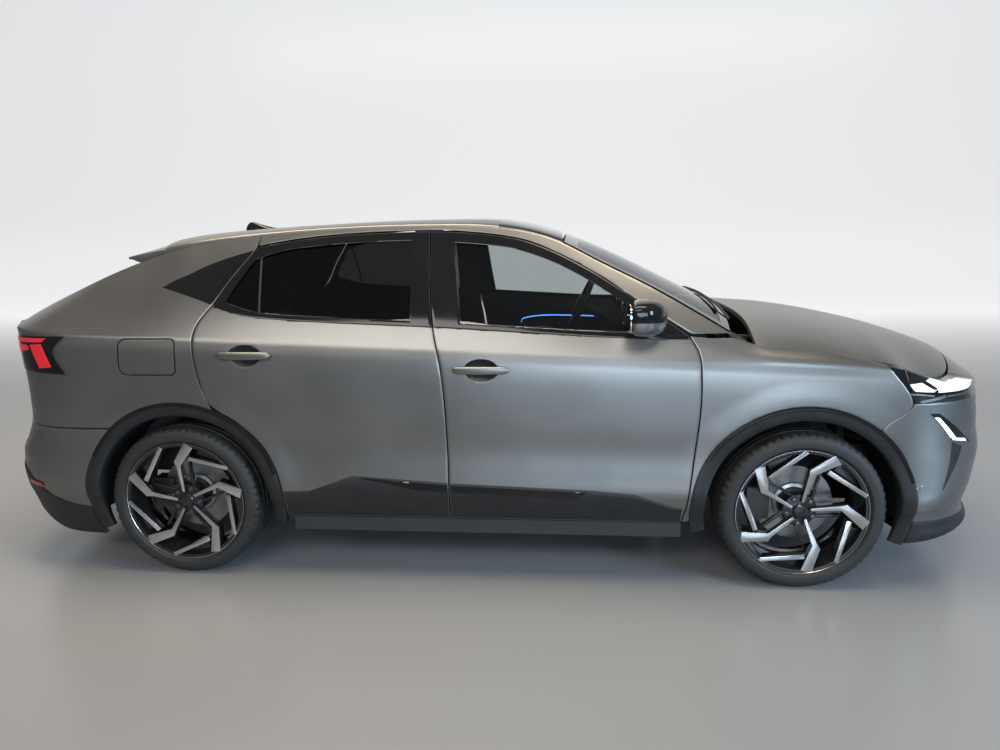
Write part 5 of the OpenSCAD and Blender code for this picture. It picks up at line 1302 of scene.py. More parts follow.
T, K = mesh_grid(np.linspace(0, 1, 24), np.linspace(-1, 1, 161))
A = K * tail_angle(X_RA - 375, np.full_like(K, 300.0))
Z = lerp(167.0, rear_clad_top(A), T)
A = K * (tail_angle(X_RA - 375, Z) - 0.4)
clad = slab("rear_lower_cladding", tail_points(Z, A, -5.0 * soft_edge(T, 12)), tail_points(Z, A, 4.0))
combine(clad, drum("cutter", X_RA, -1100, 1100, AXLE_Z, ARCH_R + CLAD_CUT))
finish_piece(clad, CLADDING_AND_PAINTED_SHADE, slot="cladding")
SKID = ([[-30, 190], [0, 186], [30, 190]], [[-36, 286], [0, 292], [36, 286]], [[-30, 190], [-36, 286]],
    [[30, 190], [36, 286]])
finish_piece(patch("rear_skid_plate", tail_surface, SKID, 60, 12, 9.0, -2.0), BRIGHT_METAL, slot="alloy", bevel=1.5)
REFLECTOR = four([58, 404], [68, 398], [67, 416], [58, 424])
piece_of("rear_reflectors", pair("reflector", tail_surface, REFLECTOR, 20, 4, 8.0, -3.0, RED_REFLECTOR, 1.0))

# Spoiler, aerial and the black front part of the roof
SPOILER_TOP = np.array([[-1650, 1476], [-1600, 1497], [-1530, 1522], [-1456, 1540]], float)
xs = np.linspace(-1646, -1456, 40)
X, V = mesh_grid(xs, fine_v(110))
w = gate_half(X) - 14
T = np.clip((X + 1646) / 76, 0, 1)
ztop = lerp(curve(SPOILER_TOP, X), edge_z(X) + lerp(50, 22, (X + 1646) / 190), np.abs(V) ** 2.4)
r = np.interp(-X, -GATE_EDGE_X[:4], np.arange(4.0))
zlow = lerp(ztop - 11, gate_top(r, V * w / gate_half(X))[..., 2] + 1.5, T * T * (3 - 2 * T))
spoiler = slab("spoiler_wing", np.stack([X, V * w, ztop], -1), np.stack([X, V * w, np.minimum(zlow, ztop - 9)], -1))
for y in (-250, 250):
    combine(spoiler, prism_z("cutter", rectangle(-1502, -1422, y - 26, y + 26), 1440, 1532))
finish_piece(outwards(spoiler), PAINT, "tailgate", ("spoiler",), slot="paint", bevel=1.5)
finish_piece(upright_plate("high_brake_lamp", rounded_rect(-150, 150, 1467, 1474, 3, 0.0, 4), (-1648.5, -1641.0)),
    RED_REFLECTOR, "tailgate", slot="lamp_red")
fin = []
for x in np.linspace(-1156, -1330, 26):
    t = (-1156 - x) / 174
    h, wd = 4 + 44 * np.clip(t / 0.78, 0, 1) ** 1.25 - 20 * np.clip((t - 0.86) / 0.14, 0,
        1) ** 2, 24 * np.sqrt(max(1 - (1.6 * (t - 0.55)) ** 2, 0.02))
    q = np.linspace(0, np.pi, 15)
    base = float(curve(ROOF_MID, x))
    fin.append(np.stack([np.full(15, x), wd * np.cos(q) * (1 - 0.45 * np.sin(q)), base + 1 + h * np.sin(q) ** 0.8],
        -1))
finish_piece(loft("aerial_fin", fin), GLOSS_BLACK, "body", ("antenna",), slot="gloss_black", angle=45)
for s, nm in SIDES:
    X, A = mesh_grid(np.linspace(112, ROOF_FRONT_X - 1, 40), np.linspace(48.5, 86, 30) * s)
    finish_piece(slab("black_roof_edge_" + nm, roof_points(X, A, -1.2), roof_points(X, A, 3.0)), GLOSS_BLACK,
        slot="gloss_black")
strips, along_u, across_v = [], np.linspace(0, 1, 60), np.linspace(-0.925, 0.925, 90)
for u, v in ((along_u, np.linspace(0.925, 0.995, 8)), (along_u, np.linspace(-0.995, -0.925, 8)),
        (np.linspace(0, 0.05, 6), across_v), (np.linspace(0.92, 1, 8), across_v)):
    U, V = mesh_grid(u, v)
    border = slab("screen_border", screen_points(U, V, -GLASS_T - 1.6), screen_points(U, V, -GLASS_T - 0.8))
    strips.append(coloured(border, GLOSS_BLACK))
piece_of("screen_border", strips)

# Cowl panel and wipers at the foot of the windscreen
V = np.linspace(-0.97, 0.97, 90)
foot = screen_points(np.zeros_like(V), V, 4.0)
grid = np.stack([foot + np.array(step) for step in ((0, 0, 0.0), (14, 0, -22.0), (26, 0, -52.0), (30, 0, -84.0))])
grid[1:, :, 1] *= np.array([0.985, 0.97, 0.96])[:, None]
finish_piece(slab("cowl_panel", grid, grid - np.array([8.0, 0, 4.0])), CLADDING_AND_PAINTED_SHADE, slot="cladding", bevel=1.0)
SCREEN_HALF = 830.0


def wiper(name, y0, y1, lift):
    t = np.linspace(0, 1, 40)
    v = lerp(y0, y1, t) / SCREEN_HALF
    p = screen_points(lerp(0.055, 0.10, t), v, -GLASS_T - lift)
    blade = flat_bar(name, p, 3.5, 7.0)
    a = screen_points(np.array([-0.01]), np.array([y0 / SCREEN_HALF]), -2.0)[0] + np.array([6, 0, 2.0])
    b = p[22] + np.array([3.0, 0, 5.0])
    s = np.linspace(0, 1, 12)[:, None]
    arm_c = lerp(a[None], b[None], s) + np.array([4.0, 0, 7.0]) * np.sin(np.pi * s)
    arm = flat_bar(name + "_arm", arm_c, 6.5, 5.0)
    return [coloured(blade, RUBBER, 45), coloured(arm, CLADDING_AND_PAINTED_SHADE, 45)]


piece_of("wipers", wiper("driver_wiper", -20.0, 640.0, 9.0) + wiper("passenger_wiper", -600.0, -60.0, 9.0))

# Wheel arch trims with a gloss strip on the upper edge
TRIM_R = np.array([404, 406, 412, 430, 450, 464, 469, 470])
TRIM_LIFT = np.array([-14, -6, 0, 3.0, 4.5, 4.5, 3.0, 0])
STRIP_R, STRIP_LIFT = np.array([450, 451.5, 460, 468, 469.5]), np.array([3.0, 6.0, 7.0, 6.0, 2.0])
TRIM_IN_Y, STRIP_IN_Y = HALF_W - 72, HALF_W - 20


def arch_ring(name, x, rs, a0, a1, lifts, inner_y):
    a = np.radians(np.linspace(a0, a1, 140))
    X = x + np.outer(rs, np.cos(a))
    Z = AXLE_Z + np.outer(rs, np.sin(a))
    return slab(name, np.stack([X, skin_y(X, Z) + lifts[:, None], Z], -1),
        np.stack([X, np.full(X.shape, inner_y), Z], -1))


arches, strips = [], []
for x, ends in ((X_FA, (194, -20)), (X_RA, (200, -13))):
    arches += with_mirror(coloured(arch_ring("arch_trim", x, TRIM_R, *ends, TRIM_LIFT, TRIM_IN_Y), CLADDING_AND_PAINTED_SHADE, 40))
    strips += with_mirror(coloured(arch_ring("arch_strip", x, STRIP_R, 152, 18, STRIP_LIFT, STRIP_IN_Y), GLOSS_BLACK,
        40))
piece_of("arch_trim_set", arches, "body", ("arch_trims",))
piece_of("arch_gloss_strips", strips)

TRAY = [(980, 430), (1790, 430), (1850, 780), (2130, 700), (2270, 400)]
tray = prism_z("front_undertray", [(x, -y) for x, y in TRAY] + [(2300, 0)] + TRAY[::-1], 232, 237)
finish_piece(tray, CLADDING_AND_PAINTED_SHADE, slot="cladding", bevel=1.5)

# Road wheels, made once with the outer face towards +Y
RIM_R, TYRE_R, TYRE_W, RIM_W, SEAT_R = 278.0, 350.0, 245.0, 216.0, 266.0
TURNS = {"front": 12.0, "rear": -8.0}


def turned(R, ys):
    """Points of a ring about the Y axis. R holds the radius of each section point at each step of the turn."""
    a = circle(len(R))[:, None]
    return np.stack([R * np.cos(a), np.broadcast_to(ys, R.shape), R * np.sin(a)], -1)


def lathe(name, profile, n=180):
    p = np.asarray(profile, float)
    return ring_mesh(name, turned(np.broadcast_to(p[:, 0], (n, len(p))), p[:, 1]))


def clock(r, deg):
    """A point on the wheel face, clockwise from the top as seen from outside."""
    t = math.radians(deg)
    return np.array([-r * math.sin(t), r * math.cos(t)])


def round_at(p, r, n):
    return [p + r * np.array([math.cos(q), math.sin(q)]) for q in np.radians(np.arange(0, 360, 360 / n))]


def side_of(p, q):
    d = (q - p) / np.linalg.norm(q - p)
    return np.array([-d[1], d[0]])


def plate_y(name, pts, y0, y1, mat, bevel, rise=0.0):
    ob = prism_y(name, [tuple(p) for p in pts], y0, y1)
    for v in ob.data.vertices:
        if v.co.y > 0.09:
            v.co.y += rise / 1000 * min(max((math.hypot(v.co.x, v.co.z) * 1000 - 167) / 105, 0), 1)
    return coloured(ob, mat, 30, bevel)


def rim_parts(turn):
    e = RIM_W / 2
    parts = [coloured(lathe("barrel", [(SEAT_R - 0.3, -e + 13), (SEAT_R - 0.3, -62), (246, -40), (246, 40),
        (SEAT_R - 0.3, 66), (SEAT_R - 0.3, e - 13), (RIM_R, e - 2), (RIM_R, e + 2), (272, e + 3), (262, e + 1),
        (256, 84), (250, 62), (237, 44), (237, -40), (257, -64), (257, -e), (RIM_R, -e - 1), (RIM_R, -e + 3)]),
        RIM_DARK, 40), coloured(lathe("lip", [(RIM_R - 0.2, e + 1), (RIM_R - 0.3, e + 4.2), (RIM_R - 1.8, e + 4.4),
        (RIM_R - 2.4, e + 3.6), (RIM_R - 2.2, e + 1)]), RIM_BRIGHT, 40)]
    for i in range(5):
        a = turn + 72 * i
        hub, knee, end = clock(42, a - 5), clock(0.60 * RIM_R, a), clock(0.978 * RIM_R, a + 17)
        fork, tip = clock(0.735 * RIM_R, a + 17), clock(0.978 * RIM_R, a + 61)
        n1, n2, n3 = side_of(hub, knee), side_of(knee, end), side_of(fork, tip)
        bar = [hub + 6 * n1, knee + 10 * n1 + (hub - knee) / 165, end + 23 * n2, end - 23 * n2,
            knee - 25 * n2 + 0.06 * (end - knee), knee - 10 * n1 - 0.02 * (knee - hub), hub - 6 * n1]
        branch = [fork + 9 * n3, tip + 9 * n3, tip - 9 * n3, fork - 11 * n3]
        for nm, pts, mid, y0 in (("spoke", bar, (hub + knee + end) / 3, 56.0),
                ("branch", branch, (fork + tip) / 2, 66.0)):
            grown = [p + 4.0 * (p - mid) / np.linalg.norm(p - mid) for p in pts]
            parts.append(plate_y(nm + "_core", grown, y0, 93.5, RIM_DARK, 2.0, 17.0))
            parts.append(plate_y(nm + "_face", pts, 93.0, 95.4, RIM_BRIGHT, 0.8, 17.0))
        arc = [clock(0.945 * RIM_R, a + t) for t in np.linspace(25, 57, 9)]
        parts.append(plate_y("web", [clock(0.80 * RIM_R, a + 23)] + arc + [clock(0.88 * RIM_R, a + 47)], 70.0, 80.0,
            RIM_DARK, 1.5))
        brace = [clock(60, a + 30), clock(0.62 * RIM_R, a + 12), clock(0.66 * RIM_R, a + 15), clock(66, a + 40)]
        parts.append(plate_y("brace", brace, 52.0, 74.0, RIM_DARK, 2.0))
        nut = clock(57, a + 31)
        parts.append(plate_y("nut", round_at(nut, 10.5, 6), 78.0, 92.0, DARK_STEEL_BRIGHT, 1.2))
        parts.append(plate_y("nut_seat", round_at(nut, 15.5, 18), 70.0, 80.0, RIM_DARK, 1.0))
    parts.append(coloured(lathe("hub", [(22.05, -14), (74, -14), (74, 70), (70, 77), (40, 80), (30, 82),
        (22.05, 82)]), RIM_DARK, 35))
    parts.append(coloured(lathe("hub_cap", [(0.5, 97.5), (20, 97), (27, 95), (30, 91), (30, 76), (22.1, 76),
        (22.1, 90), (0.5, 92)]), RIM_DARK, 35))
    parts.append(coloured(lathe("brake_disc", [(60, -20), (74, -10), (88, -14), (92, -20), (167, -20), (168, -22),
        (168, -29), (150, -30), (150, -36), (168, -37), (168, -44), (167, -46), (60, -46)], 120), DISC_STEEL, 30))
    return parts


def tyre_profile():
    e, w = -RIM_W / 2, -TYRE_W / 2
    half = [(SEAT_R, e + 14), (RIM_R + 1.5, e + 4), (RIM_R + 5, e - 4), (RIM_R + 14, w + 2), (RIM_R + 28, w + 0.2),
        (RIM_R + 42, w + 1.2), (TYRE_R - 18, w + 7), (TYRE_R - 9, w + 14), (TYRE_R - 4, w + 23),
        (TYRE_R - 1.2, w + 36)]
    tread, depth = [], 7.0
    for c in (-56.0, -19.0, 19.0, 56.0):
        tread += [(TYRE_R - 0.3, c - 6.5), (TYRE_R - depth, c - 5.0), (TYRE_R - depth, c + 5.0),
            (TYRE_R - 0.3, c + 6.5)]
    return half + tread + [(r, -y) for r, y in half[::-1]]


def tyre(name):
    prof = np.array(tyre_profile())
    n, m = 360, len(prof)
    R = np.broadcast_to(prof[:, 0], (n, m)).copy()
    shoulder = (prof[:, 0] > TYRE_R - 12) & (np.abs(prof[:, 1]) > 70)
    rib = (prof[:, 0] > TYRE_R - 1) & (np.abs(prof[:, 1]) < 66)
    notch = (np.arange(n) % 6) < 2
    R[np.ix_(notch, shoulder)] -= 4.5
    R[np.ix_((np.arange(n) % 9) < 1, rib)] -= 2.5
    return ring_mesh(name, turned(R, prof[:, 1]))


first_tyre = coloured(tyre("tyre_master"), RUBBER, 30)
for end, x in (("front", X_FA), ("rear", X_RA)):
    master = joined("rim_master", rim_parts(TURNS[end]))
    for s, nm in SIDES:
        place = Matrix.Translation((x / 1000, s * WHEEL_Y / 1000,
            AXLE_Z / 1000)) @ Matrix.Rotation(0 if s > 0 else math.pi, 4, "Z")
        for source, kind, node, kind_slot in ((master, "rim", "wheel", "alloy"),
                (first_tyre, "tyre", "tyre", "tyre")):
            ob = copy_of(source, "%s_%s_%s_piece" % (kind, end, nm))
            ob.data.transform(place)
            on_body(ob, "wheel_%s_%s" % (end, nm), ("%s_%s_%s" % (node, end, nm),))
    bpy.data.objects.remove(master)
bpy.data.objects.remove(first_tyre)

# Seats: pads that swell a little as cloth under pressure
SWELL_FRAMES, SWELL_PRESSURE = 12, 4.0


def puff(ob, cap, voxel=0.012):
    m = ob.modifiers.new("even", "REMESH")
    m.mode, m.voxel_size = "VOXEL", voxel
    apply_all(ob)
    before = np.array([v.co[:] for v in ob.data.vertices])
    c = ob.modifiers.new("swell", "CLOTH")
    c.settings.use_pressure = True
    c.settings.uniform_pressure_force = SWELL_PRESSURE
    c.settings.effector_weights.gravity = 0.0
    c.point_cache.frame_start, c.point_cache.frame_end = 1, SWELL_FRAMES
    for f in range(1, SWELL_FRAMES + 1):
        scene.frame_set(f)
    moved = ob.evaluated_get(bpy.context.evaluated_depsgraph_get()).data
    after = np.array([v.co[:] for v in moved.vertices])
    ob.modifiers.remove(c)
    scene.frame_set(1)
    step = after - before
    far = np.linalg.norm(step, axis=1, keepdims=True)
    step *= np.minimum(1, cap / 1000.0 / np.maximum(far, 1e-9))
    ob.data.vertices.foreach_set("co", (before + step).ravel())
    ob.data.update()
    return ob


def pad_section(w, low, high, dip, bolster):
    """Across a seat cushion: y, z points of a crowned section with a raised bolster at each side."""
    right = [(0.0, high - dip), (0.35 * w, high - dip + 1), (0.62 * w, high - dip + 3), (0.74 * w, high - 0.4 * dip),
        (0.86 * w, high + bolster), (0.96 * w, high + 0.6 * bolster), (w, high - 30),
        (0.99 * w, lerp(low, high, 0.4)), (0.93 * w, low + 6), (0.6 * w, low), (0.0, low)]
    return np.array([(-y, z) for y, z in right[:0:-1]] + right[:-1])


def cushion(name, length, w, low, high, dip=16.0, bolster=8.0):
    rings = []
    for t, s, drop in ((0.0, 0.90, -22), (0.04, 0.97, -6), (0.3, 1.0, 0), (0.62, 1.0, 2), (0.86, 0.98, -6),
            (0.96, 0.95, -22), (1.0, 0.88, -48)):
        sec = pad_section((w - 6) * s, low + (10 if t in (0.0, 1.0) else 4), high - 9 + drop, dip, bolster)
        rings.append(np.stack([np.full(len(sec), 6 + t * (length - 14)), sec[:, 0], sec[:, 1]], -1))
    return smooth_shape(loft(name, rings), 2)


def back_pad(name, w, z0, z1, t, lean, bolster=26.0, dip=12.0):
    rings = []
    for k, s in ((0.0, 0.88), (0.05, 0.93), (0.3, 0.96), (0.58, 0.985), (0.8, 0.9), (0.94, 0.76), (1.0, 0.66)):
        z, hw, th = lerp(z0 + 6, z1 - 6, k), (w - 6) * s, t * (1 - 0.42 * k) - 8
        x0 = -lean * k - 4
        half = [(x0 + th - dip, 0.0), (x0 + th - dip + 1, 0.4 * hw), (x0 + th - 0.4 * dip, 0.68 * hw),
            (x0 + th + bolster * (1 - k) * 0.5, 0.86 * hw), (x0 + th - 8, 0.97 * hw), (x0 + 0.4 * th, hw),
            (x0 + 8, 0.95 * hw), (x0, 0.6 * hw), (x0, 0.0)]
        sec = [(x, -y) for x, y in half[:0:-1]] + half[:-1]
        rings.append(np.array([(x, y, z) for x, y in sec]))
    return smooth_shape(loft(name, rings), 2)


def head_pad(name, x, z):
    rings = []
    for k, hw, th in ((0.0, 84, 20), (0.08, 98, 30), (0.4, 122, 36), (0.7, 122, 34), (0.93, 98, 27), (1.0, 82, 18)):
        c, s = np.cos(circle(20)), np.sin(circle(20))
        rings.append(np.stack([x + 12 + th * bowed(c, 0.7), hw * bowed(s, 0.7), np.full(20, z + 6 + 146 * k)], -1))
    return smooth_shape(loft(name, rings), 1)


def seat_posts(x, z, ys):
    return [coloured(round_post("post", [(x - 2, y, 7, z - 40), (x + 8, y, 7, z + 24)], 12), BRIGHT_METAL, 40)
        for y in ys]


def stitched(target, start, ends, shot, lift=0.4, r=2.2):
    """A line of piping laid on a pad: points between ends are shot onto its surface."""
    tree = BVHTree.FromObject(target, bpy.context.evaluated_depsgraph_get())
    hits = []
    for k in np.linspace(0, 1, 40):
        o = (np.array(start) + (np.array(ends) - np.array(start)) * k) / 1000.0
        h = tree.ray_cast(Vector(o), Vector(shot))
        if h[0] is not None:
            hits.append(np.array(h[0]) * 1000.0 - lift * np.array(shot))
    q = circle(8)
    u = np.cross(np.array(shot), np.array(ends, float) - np.array(start, float))
    u /= np.linalg.norm(u)
    return coloured(loft("piping", [h + r * (np.outer(np.cos(q), u) + np.outer(np.sin(q), -np.array(shot)))
        for h in hits]), SEAM, 45)


def shift(ob, x, y, z=0.0):
    ob.data.transform(Matrix.Translation((x / 1000, y / 1000, z / 1000)))
    return ob


SEAT_Y, FRONT_SEAT_X, REAR_SEAT_X = 365.0, -160.0, X_RA + 238
DOWN, BACK, FLOOR_TOP = (0, 0, -1), (-1, 0, 0), 278.6


def cushion_seams(y):
    return [((60, s * y, 700), (470, s * y, 700), DOWN) for s in (-1, 1)]


seat_kit = [("cushion", puff(cushion("front_cushion", 520, 250, 432, 590), 7.0),
    cushion_seams(158) + [((330, -150, 700), (330, 150, 700), DOWN)]),
    ("back", puff(shift(back_pad("front_back", 250, 482, 1138, 110, 224), 10, 0), 7.0),
    [((400, y * 1.0, 560), (200, y * 0.86, 1080), BACK) for y in (-158, 158)]),
    ("headrest", puff(head_pad("front_headrest", -212, 1130), 5.0), [])]
for kind, pad, lines in seat_kit:
    coloured(pad, CLOTH, 60)
    seams = [stitched(pad, *ln) for ln in lines]
    for s, nm in SIDES:
        ob = shift(copy_of(pad, "front_%s_%s" % (kind, nm)), FRONT_SEAT_X, s * SEAT_Y)
        on_body(ob, "body", ("front_seats",) if (kind, s) == ("cushion", 1) else ())
        if seams:
            pipes = [shift(copy_of(q, "piping"), FRONT_SEAT_X, s * SEAT_Y) for q in seams]
            piece_of("front_%s_piping_%s" % (kind, nm), pipes)
    for q in seams:
        bpy.data.objects.remove(q)
    bpy.data.objects.remove(pad)
RUNNER = [(40, FLOOR_TOP), (400, FLOOR_TOP), (390, 320), (340, 445), (90, 445), (50, 320)]
frames = []
for s in (1, -1):
    frames += [shift(p, FRONT_SEAT_X, s * SEAT_Y) for p in seat_posts(-212, 1130, (-60, 60))]
    for y in (-200, 150):
        runner = prism_y("runner", RUNNER, s * SEAT_Y + y, s * SEAT_Y + y + 50)
        frames.append(coloured(shift(runner, FRONT_SEAT_X, 0), SOFT_PLASTIC, 30, 3.0))
piece_of("front_seat_frames", frames)
rear_kit = [("cushion", puff(cushion("rear_cushion", 530, 610, 432, 590, 10, 4), 7.0, 0.014), cushion_seams(200)),
    ("back", puff(shift(back_pad("rear_back", 610, 482, 1108, 110, 214, 10, 8), 10, 0), 7.0, 0.014),
    [((420, y, 560), (220, y, 1060), BACK) for y in (-200, 200)])]
for kind, pad, lines in rear_kit:
    coloured(pad, CLOTH, 60)
    seams = [stitched(pad, *ln) for ln in lines]
    shift(pad, REAR_SEAT_X, 0)
    pad.name = "rear_%s_pad" % kind
    on_body(pad, "body", ("rear_seat",) if kind == "cushion" else ())
    piece_of("rear_%s_piping" % kind, [shift(q, REAR_SEAT_X, 0) for q in seams])
rest = puff(head_pad("rear_headrest", -200, 1100), 5.0)
coloured(rest, CLOTH, 60)
for s, nm in SIDES:
    ob = shift(copy_of(rest, "rear_headrest_" + nm), REAR_SEAT_X, s * (SEAT_Y + 5))
    on_body(ob, "body", ())
bpy.data.objects.remove(rest)
base = coloured(prism_z("rear_seat_base", rectangle(-778, -640, -500, 500), FLOOR_TOP, 440), SOFT_PLASTIC, 30, 4.0)
posts = [shift(p, REAR_SEAT_X, y) for y in (-370, 370) for p in seat_posts(-200, 1100, (-60, 60))]
piece_of("rear_seat_base", [base] + posts)

# Dashboard, displays, console and steering wheel
DASH = [(1084, 816), (1084, 1030), (1000, 1098), (860, 1126), (745, 1122), (712, 1108), (694, 1062), (712, 1006),
    (732, 960), (800, 860), (850, 816)]
dash = [coloured(prism_y("dash", DASH, -664, 664), SOFT_PLASTIC, 40, 9.0)]


def panel(name, x, y0, y1, z0, z1, lean, t, mat, r=10.0):
    pts = rounded_rect(y0, y1, z0, z1, r, 0.0, 5)
    return coloured(loft(name, [np.array([(x + d + lean * (q - z0), y, q) for y, q in pts]) for d in (0.0, -t)]), mat,
        bevel=1.5)


dash.append(panel("driver_display", 700, 250, 490, 1062, 1168, 0.18, 14, GLOSS_BLACK))
dash.append(panel("centre_display", 676, -140, 70, 960, 1172, 0.2, 14, GLOSS_BLACK))
for y0, y1 in ((-640, -460), (540, 650), (-330, -170), (90, 200)):
    dash.append(panel("vent", 703, y0, y1, 1012, 1040, -0.1, 12, GLOSS_BLACK, 6.0))
dash.append(panel("dash_band", 716, -655, -150, 968, 990, -0.2, 6, BRIGHT_METAL, 6.0))
WHEEL_FRAME = Matrix.Translation((0.5, SEAT_Y / 1000, 1.105)) @ Matrix.Rotation(math.radians(114), 4, "Y")
shroud = round_post("column", [(0, 0, r, z) for r, z in ((40, 151), (46, 175), (46, 262), (44, 278))], 28)
shroud.data.transform(WHEEL_FRAME)
dash.append(coloured(shroud, SOFT_PLASTIC, 40))
piece_of("dashboard_top", dash, "body", ("dashboard",))
WHEEL_R, GRIP_R, PAD, SPOKE = 172, 15, [(-52, 62), (-34, 74), (40, 66), (64, 34)], [(-26, 60), (18, 60), (12, 166),
    (-18, 166)]
ring = np.array([[((WHEEL_R + (GRIP_R - 2 * (1 + math.cos(4 * s)) / 2) * math.cos(p)) * math.cos(s),
    (WHEEL_R + GRIP_R * math.cos(p)) * math.sin(s), 14 * math.sin(p)) for p in circle(18)] for s in circle(96)])
wheel = [coloured(ring_mesh("wheel_ring", ring), LEATHER, 60),
    coloured(prism_z("wheel_pad", [(x, -y) for x, y in PAD] + PAD[::-1], -30, 20), SOFT_PLASTIC, 30, 10.0)]
for pts in (SPOKE, [(x, -y) for x, y in SPOKE], [(56, -24), (56, 24), (164, 18), (164, -18)]):
    wheel.append(coloured(prism_z("wheel_spoke", pts, -16, 4), GLOSS_BLACK, 30, 4.0))
wheel.append(coloured(prism_z("column_end", [(29 * math.cos(t), 29 * math.sin(t)) for t in circle(28)], 10, 149),
    SOFT_PLASTIC, 40))
steering = joined("steering_wheel_grip", wheel)
steering.data.transform(WHEEL_FRAME)
on_body(steering, "body", ("steering_wheel",))
CONSOLE = [(-120, 279), (830, 279), (830, 700), (760, 760), (640, 640), (420, 600), (120, 610), (-60, 640),
    (-120, 600)]
console = [coloured(prism_y("console", CONSOLE, -100, 100), SOFT_PLASTIC, 30, 14.0),
    coloured(prism_z("console_top", rectangle(160, 560, -80, 80), 598, 612), GLOSS_BLACK, 30, 3.0)]
piece_of("centre_console", console)

# Inner door panels with an arm rest and thin light and metal lines
CARD_LOW_Z = 322


def door_card(name, xs):
    X, T = mesh_grid(np.linspace(*xs, 60), np.linspace(0, 1, 34))
    Z = lerp(CARD_LOW_Z, belt_z(X) - 6, T)
    deep = wall_t(X, Z, DOOR_T, FRAME_T)
    crown = 5 * np.sin(np.pi * T) * np.sin(np.pi * (X - xs[0]) / (xs[1] - xs[0]))
    g = np.stack([X, Z], -1)
    return slab(name, on_skin(g, deep - 2.0), on_skin(g, deep + 6.0 + crown))


def arm_rest(x0, x1, z):
    t = np.linspace(0, 1, 24)
    x = lerp(x0, x1, t)
    y = skin_y(x, np.full_like(x, z)) - DOOR_T
    k = np.maximum(1 - np.abs(2 * t - 1) ** 6, 0.05) ** 0.5
    return loft("arm_rest", [oval(a, b - 20, z, 34 * s, 30 * s) for a, b, s in zip(x, y, k)])


def light_line(points):
    p = along(points, np.linspace(0, 1, 50))
    y = skin_y(p[:, 0], p[:, 1]) - wall_t(p[:, 0], p[:, 1], DOOR_T, FRAME_T) - 9.5
    return loft("light_line", [oval(a, b, c, 2.5, 3.5, 8) for a, b, c in zip(p[:, 0], y, p[:, 1])])


for end, xs, rest, lines in (("front", (-70, 872), (60, 520, 760),
        (([[120, 946], [150, 975], [300, 992], [620, 985]], BLUE_LIGHT),
        ([[180, 905], [240, 915], [330, 908]], BRIGHT_METAL))),
        ("rear", (-770, -150), (-660, -300, 770), (([[-640, 920], [-580, 930], [-500, 922]], BRIGHT_METAL),))):
    parts = [coloured(door_card("card", xs), SOFT_PLASTIC, 40), coloured(arm_rest(*rest), LEATHER, 45)]
    parts += [coloured(light_line(points), mat, 45) for points, mat in lines]
    left = joined("%s_door_card_left" % end, parts)
    right = mirror_y(copy_of(left, "%s_door_card_right" % end))
    on_body(left, "door_%s_left" % end, ())
    on_body(right, "door_%s_right" % end, ())

# Headliner, load cover, belts and inner mirror
X, A = mesh_grid(np.linspace(-1380, 372, 60), np.linspace(-80, 80, 61))
finish_piece(slab("headliner", roof_points(X, A, 34.0), roof_points(X, A, 40.0)), HEADLINER, slot="cloth", angle=60)
cover = prism_z("load_cover", [(-2020, -560), (-1330, -600), (-1330, 600), (-2020, 560)], 952, 962)
finish_piece(cover, HEADLINER, slot="cloth", angle=30, bevel=3.0)
belts, BELT_X, BELT_HALF_W, BELT_T = [], -150.0, 24.0, 1.6
for s in (1, -1):
    z = np.linspace(700, 1330, 30)
    y = s * (700 - 60 * np.clip((z - 1000) / 330, 0, 1))
    path = np.stack([BELT_X + 20 - 36 * np.clip((z - 900) / 400, 0, 1), y, z], -1)
    corners = [(x, t, 0) for x, t in rectangle(-BELT_HALF_W, BELT_HALF_W, 0, BELT_T)]
    belts.append(coloured(loft("belt", [c + np.array(corners) for c in path]), BELT, 30))
piece_of("seat_belts", belts)
c, s = np.cos(circle(20)), np.sin(circle(20))
inner = loft("inner_mirror_body", [np.stack([np.full(20, x), 118 * k * bowed(c, 0.5), 1392 + 34 * k * bowed(s, 0.5)],
    -1) for x, k in ((470, 0.94), (474, 1.0), (492, 0.9), (500, 0.6))])
stalk = round_post("stalk", [(492, 0, 9, 1392), (520, 0, 9, 1450)], 12)
piece_of("inner_mirror", [coloured(inner, SOFT_PLASTIC, 45, 1.0), coloured(stalk, SOFT_PLASTIC, 45)])

# Materials of the solids that stay in view
for names, mat in ((("floor", "bulkhead", "front_frame", "load_floor", "front_subframe", "rear_axle"), DARK_STEEL),
        (("wheel_liners",), CLADDING_AND_PAINTED_SHADE), (("engine",), ENGINE_COVER),
        (("knuckle_left", "knuckle_right", "door_hinges"), CAST_METAL)):
    for n in names:
        for s in nodes[n].material_slots:
            s.material = mat


# Studio floor, in metres, that curves up into a pale backdrop, with lamps and the camera of the photo
def sweep_sheet():
    y = np.concatenate([np.linspace(-14, 9, 24), 9 + 6 * np.sin(np.linspace(0, np.pi / 2, 24))[1:], np.full(6, 15.0)])
    z = np.concatenate([np.zeros(24), 6 - 6 * np.cos(np.linspace(0, np.pi / 2, 24))[1:], np.linspace(8, 16, 6)])
    x = np.linspace(-26, 26, 27)
    v = [(a * 1000, b * 1000, c * 1000) for b, c in zip(y, z) for a in x]
    f = [(i * 27 + j, i * 27 + j + 1, (i + 1) * 27 + j + 1, (i + 1) * 27 + j) for i in range(len(y) - 1)
        for j in range(26)]
    return add_mesh("studio_sweep", v, f)


